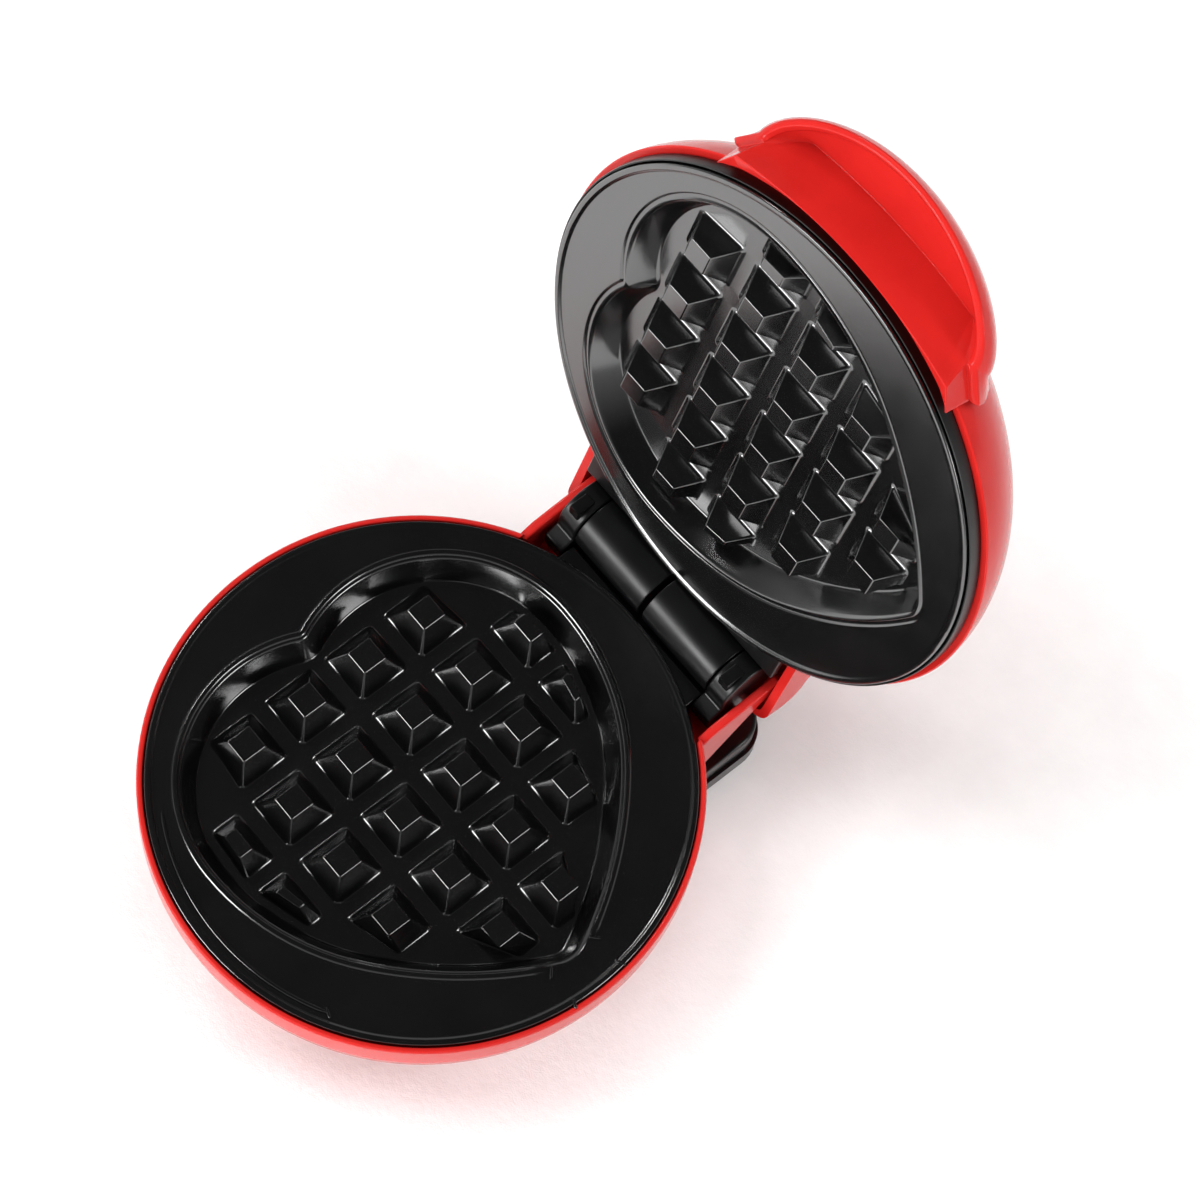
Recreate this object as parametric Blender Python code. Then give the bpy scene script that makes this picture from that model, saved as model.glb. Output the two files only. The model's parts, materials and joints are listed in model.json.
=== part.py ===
"""Mini waffle maker with heart-shaped plates, lid open, as an assembly of separate pieces.

Metres, +Z up, +X to the user's right, -Y towards the user. The origin is on the table, under the middle
of the object's box. Two frames are used below. The base frame has its Y zero at the middle of the cooking
plate, and everything in it is moved back by BASE_Y. Pieces of the lid are drawn as they lie with the lid
shut, in the same frame, and then swing open about the hinge line."""

import math

import bmesh
import bpy
import numpy as np
from mathutils import Matrix, Vector

# Driving dimensions
PITCH = 0.017  # waffle grid
PLATE_R = 0.0613
BODY_R = 0.0630  # both red shells, at their rims
WALL = 0.0022
GAP = 0.0003  # between pieces that touch
FLANGE_Z = 0.0400  # cooking face of the base plate, above the table
SHUT_GAP = 0.0013  # between the two flanges with the lid shut
ROUND = 56  # sides of a turned shell
HINGE_Y = 0.0701
HINGE_Z = 0.0421
OPEN_ANGLE = 103.8  # degrees, lid against its stop

# Cooking plates
FLANGE_T = 0.0025
CAVITY = 0.0064
FLOOR_T = 0.0022
DRAFT = 0.0033
PYRAMID_H = 0.0056
PYRAMID_TOP = 0.0030  # half sides
PYRAMID_FOOT = 0.0065
PYRAMID_CLEAR = 0.0022  # from a clipped pyramid to the wall of the heart
BEAD_H = 0.0005
GRID_X = -1.79 * PITCH  # first column, from the middle of the plate
ROWS = (4, 6, 6, 4, 2)  # pyramids in each column, from the lobes to the tip

# Heart outline: lobe, shoulder and side arcs, then a round tip
LOBE = (-0.0115, 0.0155, 0.0341)  # centre x, y and radius
SHOULDER_R = 0.058
SHOULDER_END = 50.0  # degrees, direction of the outline's normal
SIDE_R = 0.100
TIP_R = 0.0075

# Shells
RIM_BAND = 0.0065  # upright part of the bowl, under its rim
BOWL_BULGE = 0.0042  # of the bowl's side, beyond a straight one
BOWL_FOOT_R = 0.046
BOWL_FOOT_Z = 0.0088
LID_RIM_Z = 0.0450
DOME_R = 0.0636  # the lid's dome is half an ellipsoid
DOME_H = 0.0380
DOME_Z = 0.0430  # its widest level
LENS_R = 0.0030

# Hinge
BARREL_R = 0.0078
BARREL_IN = 0.0007
BARREL_OUT = 0.0228
ARM_X = (0.0231, 0.0290)
PIN_R = 0.0020
BORE_R = 0.00225
BASE_EAR_X = 0.0324
LID_BOX_HALF = 0.0352  # half width of the cover over the hinge
LID_BOX_Y = 0.0805
LID_BOX_TOP = 0.0548
COVER_BACK_Y = 0.0786
COVER_HALF = 0.0336
BOX_FLOOR_Z = 0.0157
BOX_SLOPE = 0.0344  # the back of the hinge box slopes at 45 degrees: y less z
BOX_START_Y = 0.0300  # inside the bowl
BOX_FRONT_Z = 0.0385  # top of the hinge box where it meets the bowl
DECK_TOP = FLANGE_Z - 0.0016
DECK_LOW = 0.0340
ARM_FOOT_Y = 0.0588

# Levels of the plates' hidden sides, and what hangs from them
FRAME_IN = 0.0570  # inner radius of both plate rings
SEAT_R = PLATE_R + GAP
UNDER_BASE_PLATE = FLANGE_Z - CAVITY - FLOOR_T - GAP
ELEMENT_R = 0.0360  # the horseshoe's radius
SHEATH_R = 0.0032
ELEMENT_DROP = SHEATH_R + 0.0001  # from the plate's back to the tube's middle line
LEG_X = 0.0085
LEAD_R = 0.0012
REFLECTOR_SIDES = 40
SMALL_SIDES = 16  # of screws and posts
FOOT_SIDES = 20

# Stand
FEET = {"front": (0.0270, -0.0300), "rear": (0.0240, 0.0680)}
COVER_SCREWS = {"front": (0.0, -0.0330), "left": (-0.0340, 0.0060), "right": (0.0340, 0.0060)}
COVER_LOW = 0.0024
COVER_BLOCK_Y = 0.0562  # front of the raised block, behind the bowl
COVER_TOP = BOWL_FOOT_Z - GAP
GLAND_Z = 0.0096
GLAND_HOLE_R = 0.0035
GLAND_WAY_R = 0.0022

HINGE = Vector((0.0, HINGE_Y, HINGE_Z))
LID_FLANGE_Z = FLANGE_Z + SHUT_GAP
BEHIND_LID_PLATE = LID_FLANGE_Z + CAVITY + FLOOR_T + GAP
# The dome reaches furthest back when the lid is open, and the bowl's rim furthest forward.
OPEN = math.radians(OPEN_ANGLE)
DOME_BACK = (
    HINGE_Y * (1 - math.cos(OPEN))
    + (DOME_Z - HINGE_Z) * math.sin(OPEN)
    + math.hypot(DOME_R * math.cos(OPEN), DOME_H * math.sin(OPEN))
)
BASE_Y = -(DOME_BACK - BODY_R) / 2

RED = (0.72, 0.020, 0.016)
BLACK = (0.012, 0.012, 0.013)


# ---------------------------------------------------------------- scene, materials, objects


def clear_scene():
    for obj in list(bpy.data.objects):
        bpy.data.objects.remove(obj)


def material(name, colour, roughness, metallic=0.0):
    made = bpy.data.materials.new(name)
    made.use_nodes = True
    shader = made.node_tree.nodes["Principled BSDF"]
    shader.inputs["Base Color"].default_value = (*colour, 1.0)
    shader.inputs["Roughness"].default_value = roughness
    shader.inputs["Metallic"].default_value = metallic
    return made


def add_object(name, bm, finish, parent):
    """Makes the object from a mesh drawn in the base frame, and places it under its parent."""
    bmesh.ops.recalc_face_normals(bm, faces=bm.faces)
    bmesh.ops.translate(bm, verts=bm.verts, vec=-Vector(parent["origin"]))
    mesh = bpy.data.meshes.new(name)
    bm.to_mesh(mesh)
    bm.free()
    mesh.shade_smooth()
    mesh.set_sharp_from_angle(angle=math.radians(30))
    obj = bpy.data.objects.new(name, mesh)
    bpy.context.scene.collection.objects.link(obj)
    obj.parent = parent
    if finish:
        own = finish.copy()
        own.name = name + "_finish"
        mesh.materials.append(own)
    return obj


def add_frame(name, origin, location, tilt):
    """An empty that carries a body. Its origin is the point of the base frame that it stands for."""
    frame = bpy.data.objects.new(name, None)
    frame.location = location
    frame.rotation_euler = (tilt, 0.0, 0.0)
    frame["origin"] = tuple(origin)
    bpy.context.scene.collection.objects.link(frame)
    return frame


def boolean(obj, name, bm, operation="DIFFERENCE"):
    """Cuts obj with a helper that is left out of the assembly, or joins the helper to it."""
    helper = add_object(f"{obj.name}_{name}", bm, None, obj.parent)
    helper.hide_render = True
    helper.display_type = "WIRE"
    modifier = obj.modifiers.new(name, "BOOLEAN")
    modifier.operation = operation
    modifier.solver = "EXACT"
    modifier.object = helper
    return helper


# ---------------------------------------------------------------- meshes


def skin(loops, wrap=False):
    """A closed mesh through loops of points that match one to one, capped unless it wraps round."""
    bm = bmesh.new()
    rings = [[bm.verts.new(point) for point in loop] for loop in loops]
    following = rings[1:] + rings[:1] if wrap else rings[1:]
    for ring, other in zip(rings, following):
        for i in range(len(ring)):
            bm.faces.new((ring[i - 1], ring[i], other[i], other[i - 1]))
    if not wrap:
        bm.faces.new(rings[0])
        bm.faces.new(rings[-1])
    return bm


def circle(radius, z, count, centre=(0.0, 0.0)):
    turns = (2 * math.pi * i / count for i in range(count))
    return [
        Vector((centre[0] + radius * math.cos(a), centre[1] + radius * math.sin(a), z))
        for a in turns
    ]


def turned(profile, count, centre=(0.0, 0.0), wrap=False):
    """A body of revolution about a vertical line, from (radius, z) pairs."""
    return skin([circle(r, z, count, centre) for r, z in profile], wrap)


def rod(start, end, profile, count=20):
    """A turned rod from start to end, whose profile holds (share of the length, radius) pairs."""
    start, end = Vector(start), Vector(end)
    spin = (end - start).to_track_quat("Z", "Y")
    loops = []
    for share, radius in profile:
        middle = start.lerp(end, share)
        loops.append([middle + spin @ point for point in circle(radius, 0.0, count)])
    return skin(loops)


def slab(outline, low, high):
    """An outline in X and Y, between two heights."""
    return skin([[Vector((x, y, z)) for x, y in outline] for z in (low, high)])


def side_plate(outline, left, right):
    """An outline in Y and Z, between two places along X."""
    return skin([[Vector((x, y, z)) for y, z in outline] for x in (left, right)])


def box(low, high):
    corners = [(low[0], low[1]), (high[0], low[1]), (high[0], high[1]), (low[0], high[1])]
    return slab(corners, low[2], high[2])


def merged(first, second):
    """Both meshes in one, for a helper made of shapes that don't touch."""
    mesh = bpy.data.meshes.new("merged")
    second.to_mesh(mesh)
    second.free()
    first.from_mesh(mesh)
    bpy.data.meshes.remove(mesh)
    return first


def arc(centre, radius, start, end, steps):
    """Points along an arc, from one angle in degrees to another."""
    angles = np.radians(np.linspace(start, end, steps + 1))
    return [
        (centre[0] + radius * math.cos(a), centre[1] + radius * math.sin(a)) for a in angles
    ]


def tube(name, points, radius, finish, parent):
    """A round tube through points, with closed ends."""
    curve = bpy.data.curves.new(name, "CURVE")
    curve.dimensions = "3D"
    curve.bevel_depth = radius
    curve.bevel_resolution = 2
    curve.use_fill_caps = True
    spline = curve.splines.new("POLY")
    spline.points.add(len(points) - 1)
    for place, point in zip(spline.points, points):
        place.co = (*(Vector(point) - Vector(parent["origin"])), 1.0)
    obj = bpy.data.objects.new(name, curve)
    bpy.context.scene.collection.objects.link(obj)
    obj.parent = parent
    curve.materials.append(finish)
    return obj


def smooth_route(points, steps):
    """Points on a smooth curve through the given ones."""
    padded = [points[0], *points, points[-1]]
    route = []
    for a, b, c, d in zip(padded, padded[1:], padded[2:], padded[3:]):
        a, b, c, d = (Vector(p) for p in (a, b, c, d))
        for i in range(steps):
            t = i / steps
            route.append(
                0.5
                * (
                    2 * b
                    + (c - a) * t
                    + (2 * a - 5 * b + 4 * c - d) * t * t
                    + (3 * b - a - 3 * c + d) * t * t * t
                )
            )
    return [*route, Vector(points[-1])]


# ---------------------------------------------------------------- cooking plates


def heart_centres():
    """Centres of the shoulder and side arcs, and of the tip, for the upper half of the heart."""
    x, y, radius = LOBE
    shoulder = Vector((x, y + radius - SHOULDER_R))
    end = math.radians(SHOULDER_END)
    normal = Vector((math.cos(end), math.sin(end)))
    side = shoulder + (SHOULDER_R - SIDE_R) * normal
    tip = Vector((side.x + math.sqrt((SIDE_R - TIP_R) ** 2 - side.y**2), 0.0))
    return shoulder, side, tip


def heart(offset=0.0):
    """The heart's outline, grown by offset, clockwise from the cleft, as (x, y) pairs."""
    shoulder, side, tip = heart_centres()
    lobe_r = LOBE[2] + offset
    cleft = 180.0 + math.degrees(math.asin(LOBE[1] / lobe_r))
    side_end = math.degrees(math.atan2(tip.y - side.y, tip.x - side.x))
    half = [
        *arc(LOBE[:2], lobe_r, cleft, 90.0, 11),
        *arc(shoulder, SHOULDER_R + offset, 90.0, SHOULDER_END, 5)[1:],
        *arc(side, SIDE_R + offset, SHOULDER_END, side_end, 6)[1:],
        *arc(tip, TIP_R + offset, side_end, 0.0, 3)[1:],
    ]
    return half + [(x, -y) for x, y in half[-2:0:-1]]


def heart_limit(x):
    """How far from the middle line the floor of the heart reaches at x."""
    upper = [p for p in heart(-DRAFT) if p[1] >= 0]
    first = min(range(len(upper)), key=lambda i: upper[i][0])
    xs, ys = zip(*upper[first:])
    return float(np.interp(x, xs, ys))


def pyramid(column, row):
    """Foot and top corners of one pyramid, clipped where it would meet the wall of the heart."""
    cx = GRID_X + column * PITCH
    cy = (row - (ROWS[column] - 1) / 2) * PITCH
    side = math.copysign(1.0, cy)
    corners = []
    for half, clear in ((PYRAMID_FOOT, PYRAMID_CLEAR), (PYRAMID_TOP, PYRAMID_CLEAR + 0.001)):
        near = abs(cy) - half
        ring = []
        for x in (cx - half, cx + half):
            far = min(abs(cy) + half, heart_limit(x) - clear)
            ring.append(((x, min(near, far - 0.0012)), (x, far)))
        (a, b), (c, d) = ring
        corners.append([(x, side * y) for x, y in (a, c, d, b)])
    return corners


def plate_loops(ridge):
    """The plate's surface as matching loops, from under the heart round to the edge of its floor."""
    rim = [math.atan2(y, x) for x, y in heart()]

    def ring(radius, z):
        return [Vector((radius * math.cos(a), radius * math.sin(a), z)) for a in rim]

    def heart_ring(offset, z):
        return [Vector((x, y, z)) for x, y in heart(offset)]

    return [
        heart_ring(FLOOR_T - DRAFT, -CAVITY - FLOOR_T),
        heart_ring(FLOOR_T, -FLANGE_T),
        ring(PLATE_R, -FLANGE_T),
        ring(PLATE_R, BEAD_H),
        ring(PLATE_R - 0.0014, BEAD_H),
        ring(PLATE_R - 0.0019, 0.0),
        heart_ring(0.0021, 0.0),
        heart_ring(0.0017, ridge),
        heart_ring(0.0007, ridge),
        heart_ring(0.0, -0.0004),
        heart_ring(-DRAFT, -CAVITY),
    ]


def plate_mesh(ridge):
    """A cooking plate facing up, its flange at height zero, with its pyramids on the floor."""
    bm = bmesh.new()
    rings = [[bm.verts.new(point) for point in loop] for loop in plate_loops(ridge)]
    for ring, other in zip(rings, rings[1:]):
        for i in range(len(ring)):
            bm.faces.new((ring[i - 1], ring[i], other[i], other[i - 1]))
    bm.faces.new(rings[0])
    bounds = [rings[-1]]
    for column, count in enumerate(ROWS):
        for row in range(count):
            foot, top = pyramid(column, row)
            low = [bm.verts.new((x, y, -CAVITY)) for x, y in foot]
            high = [bm.verts.new((x, y, PYRAMID_H - CAVITY)) for x, y in top]
            for i in range(4):
                bm.faces.new((low[i - 1], low[i], high[i], high[i - 1]))
            bm.faces.new(high)
            bounds.append(low)
    edges = [bm.edges.get((loop[i - 1], loop[i])) for loop in bounds for i in range(len(loop))]
    bmesh.ops.triangle_fill(bm, edges=edges, use_beauty=True)
    return bm


def base_plate(coating, base):
    bm = plate_mesh(BEAD_H)
    bmesh.ops.translate(bm, verts=bm.verts, vec=(0.0, 0.0, FLANGE_Z))
    return add_object("base_plate", bm, coating, base)


def lid_plate(coating, lid):
    bm = plate_mesh(-BEAD_H)
    facing_down = Matrix.Translation((0.0, 0.0, LID_FLANGE_Z)) @ Matrix.Scale(-1.0, 4, (0, 0, 1))
    bmesh.ops.transform(bm, matrix=facing_down, verts=bm.verts)
    return add_object("lid_plate", bm, coating, lid)


# ---------------------------------------------------------------- base


def bowl_profile(inset):
    """The bowl's side from its foot up to the rim band, as (radius, z) pairs."""
    shoulder = (BODY_R, FLANGE_Z - RIM_BAND)
    foot = (BOWL_FOOT_R, BOWL_FOOT_Z)
    points = []
    for i in range(7):
        t = i / 6
        out = BOWL_BULGE * 4 * t * (1 - t)
        r = foot[0] + (shoulder[0] - foot[0]) * t + out * 0.85
        z = foot[1] + (shoulder[1] - foot[1]) * t - out * 0.5
        points.append((r - inset, z))
    return points


def hinge_box():
    """The box behind the bowl from the side, whose two cheeks run on past its sloping back as hooks."""
    return [
        (BOX_START_Y, BOX_FLOOR_Z),
        (BOX_FLOOR_Z + BOX_SLOPE, BOX_FLOOR_Z),
        (HINGE_Y, HINGE_Y - BOX_SLOPE),
        (0.0742, 0.0380),
        *arc((0.0756, 0.0405), 0.0024, -60, 90, 4),
        (0.0575, 0.0408),
        (0.0530, BOX_FRONT_Z),
        (BOX_START_Y, BOX_FRONT_Z),
    ]


def hinge_box_inside():
    inner = BOX_SLOPE - WALL * math.sqrt(2)
    low, notch = BOX_FLOOR_Z + WALL, 0.0336
    beyond, above = 0.1000, 0.0600
    return [
        (BOX_START_Y, low),
        (low + inner, low),
        (notch + inner, notch),
        (beyond, notch),
        (beyond, above),
        (BOX_START_Y, above),
    ]


def base_housing(red, base):
    """The bowl and the box that holds the hinge, as one moulding, open above and below."""
    top = FLANGE_Z + 0.0002
    outside = [*bowl_profile(0.0), (BODY_R, top)]
    inside = bowl_profile(WALL)
    inside = [(inside[0][0], BOWL_FOOT_Z - 0.002), *inside[1:], (BODY_R - 0.0014, top - 0.0030)]
    inside.append((BODY_R - 0.0014, top + 0.002))
    obj = add_object("base_housing", turned(outside, ROUND), red, base)
    boolean(obj, "hinge_box", side_plate(hinge_box(), -BASE_EAR_X, BASE_EAR_X), "UNION")
    boolean(obj, "inside", turned(inside, ROUND))
    half = BASE_EAR_X - WALL
    boolean(obj, "bay", side_plate(hinge_box_inside(), -half, half))
    return obj


def base_frame(black, base):
    """The ring that carries the base plate, with a deck behind it between the hinge arms."""
    top = FLANGE_Z - FLANGE_T - GAP
    low, outer = 0.0350, 0.0599
    ring = [(FRAME_IN, low), (outer, low), (outer, top), (FRAME_IN, top)]
    obj = add_object("base_frame", turned(ring, ROUND, wrap=True), black, base)
    half = ARM_X[0] - GAP
    deck = box((-half, 0.0540, DECK_LOW), (half, 0.0622, DECK_TOP))
    boolean(obj, "deck", deck, "UNION")
    boolean(obj, "plate_seat", turned(((SEAT_R, top), (SEAT_R, 0.05)), ROUND))
    return obj


def hinge_arm(side, black, base):
    """A boss that holds one hinge pin, on a foot beside the deck."""
    low, high = sorted((side * ARM_X[0], side * ARM_X[1]))
    outline = [
        (ARM_FOOT_Y, DECK_LOW),
        (0.0655, DECK_LOW),
        *arc((HINGE_Y, HINGE_Z), BARREL_R, -110, 180, 18),
        (0.0623, 0.0406),
        (ARM_FOOT_Y, DECK_TOP),
    ]
    name = "hinge_arm_right" if side > 0 else "hinge_arm_left"
    obj = add_object(name, side_plate(outline, low, high), black, base)
    start = (side * (ARM_X[0] - 0.0020), HINGE_Y, HINGE_Z)
    end = (side * (ARM_X[1] - WALL), HINGE_Y, HINGE_Z)
    boolean(obj, "bore", rod(start, end, ((0, BORE_R), (1, BORE_R))))
    return obj


def hinge_pin(side, steel, base):
    name = "hinge_pin_right" if side > 0 else "hinge_pin_left"
    start = (side * (BARREL_OUT - 0.0080), HINGE_Y, HINGE_Z)
    end = (side * (ARM_X[1] - 0.0025), HINGE_Y, HINGE_Z)
    profile = ((0, PIN_R * 0.7), (0.06, PIN_R), (1, PIN_R))
    return add_object(name, rod(start, end, profile), steel, base)


def cover_outline(inset):
    """The stand seen from above: round in front, square with round corners behind the hinge."""
    half, back, corner = COVER_HALF - inset, COVER_BACK_Y - inset, 0.009 - inset
    round_r = BOWL_FOOT_R - 0.001 - inset
    start = math.degrees(math.asin(half / round_r))
    right = [
        *arc((0, 0), round_r, -90, 90 - start, 12),
        *arc((half - corner, back - corner), corner, 0, 90, 5),
    ]
    return right + [(-x, y) for x, y in right[:0:-1]]


def cover_back_outline(inset):
    half, back, corner = COVER_HALF - 0.0008 - inset, COVER_BACK_Y - 0.0008 - inset, 0.0085 - inset
    right = [(half, COVER_BLOCK_Y + inset), *arc((half - corner, back - corner), corner, 0, 90, 5)]
    return right + [(-x, y) for x, y in reversed(right)]


def base_cover(black, base):
    """The black stand that closes the bowl from below, with a raised block under the hinge box."""
    edge = 0.0010
    loops = []
    for inset, z in ((edge, COVER_LOW), (0.0, COVER_LOW + edge), (0.0, COVER_TOP)):
        loops.append([Vector((x, y, z)) for x, y in cover_outline(inset)])
    obj = add_object("base_cover", skin(loops), black, base)
    boolean(obj, "back_block", slab(cover_back_outline(0.0), 0.0060, BOX_FLOOR_Z - GAP), "UNION")
    floor = COVER_LOW + WALL
    boolean(obj, "hollow", slab(cover_outline(WALL), floor, 0.0120))
    boolean(obj, "back_hollow", slab(cover_back_outline(WALL), floor + 0.001, 0.0250))
    pockets = bmesh.new()
    for x, y in FEET.values():
        for side in (-1, 1):
            pocket = turned(((0.0056, 0.0), (0.0056, 0.0033)), FOOT_SIDES, (side * x, y))
            pockets = merged(pockets, pocket)
    boolean(obj, "foot_pockets", pockets)
    holes = bmesh.new()
    for place in COVER_SCREWS.values():
        profile = ((0.0033, 0.0), (0.0033, 0.0034), (0.0018, 0.0034), (0.0018, 0.0080))
        holes = merged(holes, turned(profile, SMALL_SIDES, place))
    boolean(obj, "screw_holes", holes)
    start, end = (0, COVER_BACK_Y - 0.006, GLAND_Z), (0, COVER_BACK_Y + 0.004, GLAND_Z)
    boolean(obj, "gland_hole", rod(start, end, ((0, GLAND_HOLE_R), (1, GLAND_HOLE_R))))
    return obj


def rubber_feet(rubber, base):
    for end, (x, y) in FEET.items():
        for side, word in ((-1, "left"), (1, "right")):
            profile = ((0.0044, 0.0), (0.0052, 0.0006), (0.0052, 0.0030))
            foot = turned(profile, FOOT_SIDES, (side * x, y))
            add_object(f"foot_{end}_{word}", foot, rubber, base)


def cover_screws(steel, base):
    for word, place in COVER_SCREWS.items():
        head = ((0.0026, 0.0012), (0.0030, 0.0016), (0.0030, 0.0031))
        shank = ((0.0015, 0.0031), (0.0015, 0.0110))
        screw = turned((*head, *shank), SMALL_SIDES, place)
        add_object(f"cover_screw_{word}", screw, steel, base)


def element_points(radius, z, end_y):
    """A horseshoe of heating tube, open to the back, with its two straight ends side by side."""
    opening = 20  # degrees, from the middle line to each end of the horseshoe
    ring = [Vector((x, y, z)) for x, y in arc((0, 0), radius, 90 - opening, opening - 270, 28)]
    legs_right = [Vector((LEG_X, end_y, z)), Vector((LEG_X + 0.0010, ring[0].y + 0.004, z))]
    legs_left = [Vector((-x, y, z)) for x, y, z in reversed(legs_right)]
    return [*legs_right, *ring, *legs_left]


def base_element(sheath, base):
    z = UNDER_BASE_PLATE - ELEMENT_DROP
    return tube("base_element", element_points(ELEMENT_R, z, 0.0430), SHEATH_R, sheath, base)


def base_reflector(metal, base):
    """A shallow dish that keeps the heat away from the wiring."""
    profile = [
        (0.0030, 0.0200),
        (0.0420, 0.0200),
        (0.0450, 0.0235),
        (0.0441, 0.0237),
        (0.0414, 0.0209),
        (0.0030, 0.0209),
    ]
    return add_object("base_reflector", turned(profile, REFLECTOR_SIDES, wrap=True), metal, base)


def standoffs(prefix, low, high, steel, body):
    """Three posts that hold a reflector to the back of its plate."""
    for i, word in enumerate(("front", "left", "right")):
        turn = math.radians(-90 - 120 * i)
        place = (0.0240 * math.cos(turn), 0.0240 * math.sin(turn))
        post = turned(((0.0026, low), (0.0026, high)), SMALL_SIDES, place)
        add_object(f"{prefix}_{word}", post, steel, body)


def thermostat(steel, base):
    """The switch's can, with a neck that touches the back of the plate."""
    neck = UNDER_BASE_PLATE - 0.0012
    can = ((0.0080, 0.0240), (0.0080, neck), (0.0066, neck), (0.0066, UNDER_BASE_PLATE))
    add_object("thermostat", turned(can, 32), steel, base)


def thermal_fuse(white, base):
    profile = ((0, 0.0014), (0.1, 0.0020), (0.9, 0.0020), (1, 0.0014))
    fuse = rod((0.0140, 0.0035, 0.0290), (0.0200, -0.0085, 0.0290), profile)
    add_object("thermal_fuse", fuse, white, base)


def terminal_block(cream, base):
    """The block on the floor of the stand where the mains lead ends, with three ways through it."""
    body = box((-0.0110, 0.0200, 0.0049), (0.0110, 0.0300, 0.0130))
    block = add_object("terminal_block", body, cream, base)
    ways = bmesh.new()
    for x in (-0.0060, 0.0, 0.0060):
        way = rod((x, 0.0190, 0.0090), (x, 0.0310, 0.0090), ((0, 0.0018), (1, 0.0018)), 12)
        ways = merged(ways, way)
    boolean(block, "ways", ways)


def leads(white, base):
    """Two sleeved wires from the terminal block up to the ends of the heating tube."""
    end_z = UNDER_BASE_PLATE - ELEMENT_DROP
    for side, word in ((-1, "left"), (1, "right")):
        through = [
            (side * 0.0060, 0.0303, 0.0090),
            (side * 0.0062, 0.0340, 0.0090),
            (side * 0.0075, 0.0410, 0.0105),
            (side * LEG_X, 0.0453, 0.0150),
            (side * LEG_X, 0.0478, 0.0205),
            (side * LEG_X, 0.0486, 0.0250),
            (side * LEG_X, 0.0470, end_z),
            (side * LEG_X, 0.0434, end_z),
        ]
        tube(f"lead_{word}", smooth_route(through, 3), LEAD_R, white, base)


def cord_bushing(black, base):
    """The round gland in the back of the stand where the mains lead comes out."""
    inner, outer, spare = COVER_BACK_Y - 0.0040, COVER_BACK_Y + 0.0030, 0.0020
    profile = ((0, 0.0032), (0.62, 0.0032), (0.62, 0.0046), (0.9, 0.0046), (1, 0.0040))
    body = rod((0, inner, GLAND_Z), (0, outer, GLAND_Z), profile, 24)
    obj = add_object("cord_bushing", body, black, base)
    start, end = (0, inner - spare, GLAND_Z), (0, outer + spare, GLAND_Z)
    boolean(obj, "way", rod(start, end, ((0, GLAND_WAY_R), (1, GLAND_WAY_R))))
    return obj


# ---------------------------------------------------------------- lid, drawn shut


def dome_profile(inset, steps=10):
    """The dome from its rim to the lens, as (radius, z) pairs."""
    radius, height = DOME_R - inset, DOME_H - inset
    start = math.asin((LID_RIM_Z - DOME_Z) / height)
    end = math.acos((LENS_R + GAP) / radius)
    turns = np.linspace(start, end, steps + 1)
    return [(radius * math.cos(t), DOME_Z + height * math.sin(t)) for t in turns]


def lid_box(inset, low):
    """Sections of the cover over the hinge, from side to side, with its upright corners rounded."""
    half, corner = LID_BOX_HALF - inset, 0.0040 - inset
    loops = []
    for turn in np.radians([0, 25, 55, 90, 90, 125, 155, 180]):
        side = -1 if len(loops) < 4 else 1
        x = side * (half - corner + corner * abs(math.cos(turn)))
        back = LID_BOX_Y - inset - corner * (1 - math.sin(turn))
        top = LID_BOX_TOP - inset
        outline = [
            (0.0380, low),
            (0.0380, top + 0.0058),
            (0.0560, top + 0.0040),
            (0.0680, top + 0.0008),
            *arc((back - 0.0065, top - 0.0065), 0.0065, 85, 0, 4),
            (back, low),
        ]
        loops.append([Vector((x, y, z)) for y, z in outline])
    return skin(loops)


def lid_housing(red, lid):
    """The domed top shell, and behind it the cover over the hinge, as one moulding."""
    inside = dome_profile(WALL, 8)
    inside = [(inside[0][0], LID_RIM_Z - 0.002), *inside, (LENS_R + GAP, 0.0850)]
    obj = add_object("lid_housing", turned(dome_profile(0.0), ROUND), red, lid)
    boolean(obj, "hinge_cover", lid_box(0.0, LID_RIM_Z), "UNION")
    boolean(obj, "inside", turned(inside, ROUND))
    boolean(obj, "bay", lid_box(WALL, 0.0100))
    return obj


def lid_frame(black, lid):
    """The ring round the lid plate, with a flap that closes the corner in front of the hinge."""
    seat = LID_FLANGE_Z + FLANGE_T + GAP
    face, shelf, outer, step = LID_FLANGE_Z + 0.0003, LID_RIM_Z - GAP, 0.0620, 0.0604
    ring = [
        (SEAT_R, face),
        (outer, face),
        (outer, shelf),
        (step, shelf),
        (step, 0.0463),
        (FRAME_IN, 0.0463),
        (FRAME_IN, seat),
        (SEAT_R, seat),
    ]
    obj = add_object("lid_frame", turned(ring, ROUND, wrap=True), black, lid)
    flap = box((-0.0320, 0.0500, LID_FLANGE_Z + 0.0012), (0.0320, 0.0618, shelf))
    boolean(obj, "flap", flap, "UNION")
    boolean(obj, "plate_seat", turned(((SEAT_R, 0.030), (SEAT_R, seat)), ROUND))
    boolean(obj, "middle", turned(((FRAME_IN, 0.0300), (FRAME_IN, 0.0600)), ROUND))
    return obj


def hinge_barrel(side, black, lid):
    """One half of the hinge barrel, with the foot that fixes it inside the lid."""
    low, high = sorted((side * BARREL_IN, side * BARREL_OUT))
    outline = [
        (0.0590, 0.0469),
        *arc((HINGE_Y, HINGE_Z), BARREL_R, -216, 90, 26),
        (0.0590, 0.0500),
    ]
    name = "hinge_barrel_right" if side > 0 else "hinge_barrel_left"
    obj = add_object(name, side_plate(outline, low, high), black, lid)
    start = (side * (BARREL_OUT - 0.0090), HINGE_Y, HINGE_Z)
    end = (side * (BARREL_OUT + 0.0020), HINGE_Y, HINGE_Z)
    boolean(obj, "bore", rod(start, end, ((0, BORE_R), (1, BORE_R))))
    return obj


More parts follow.
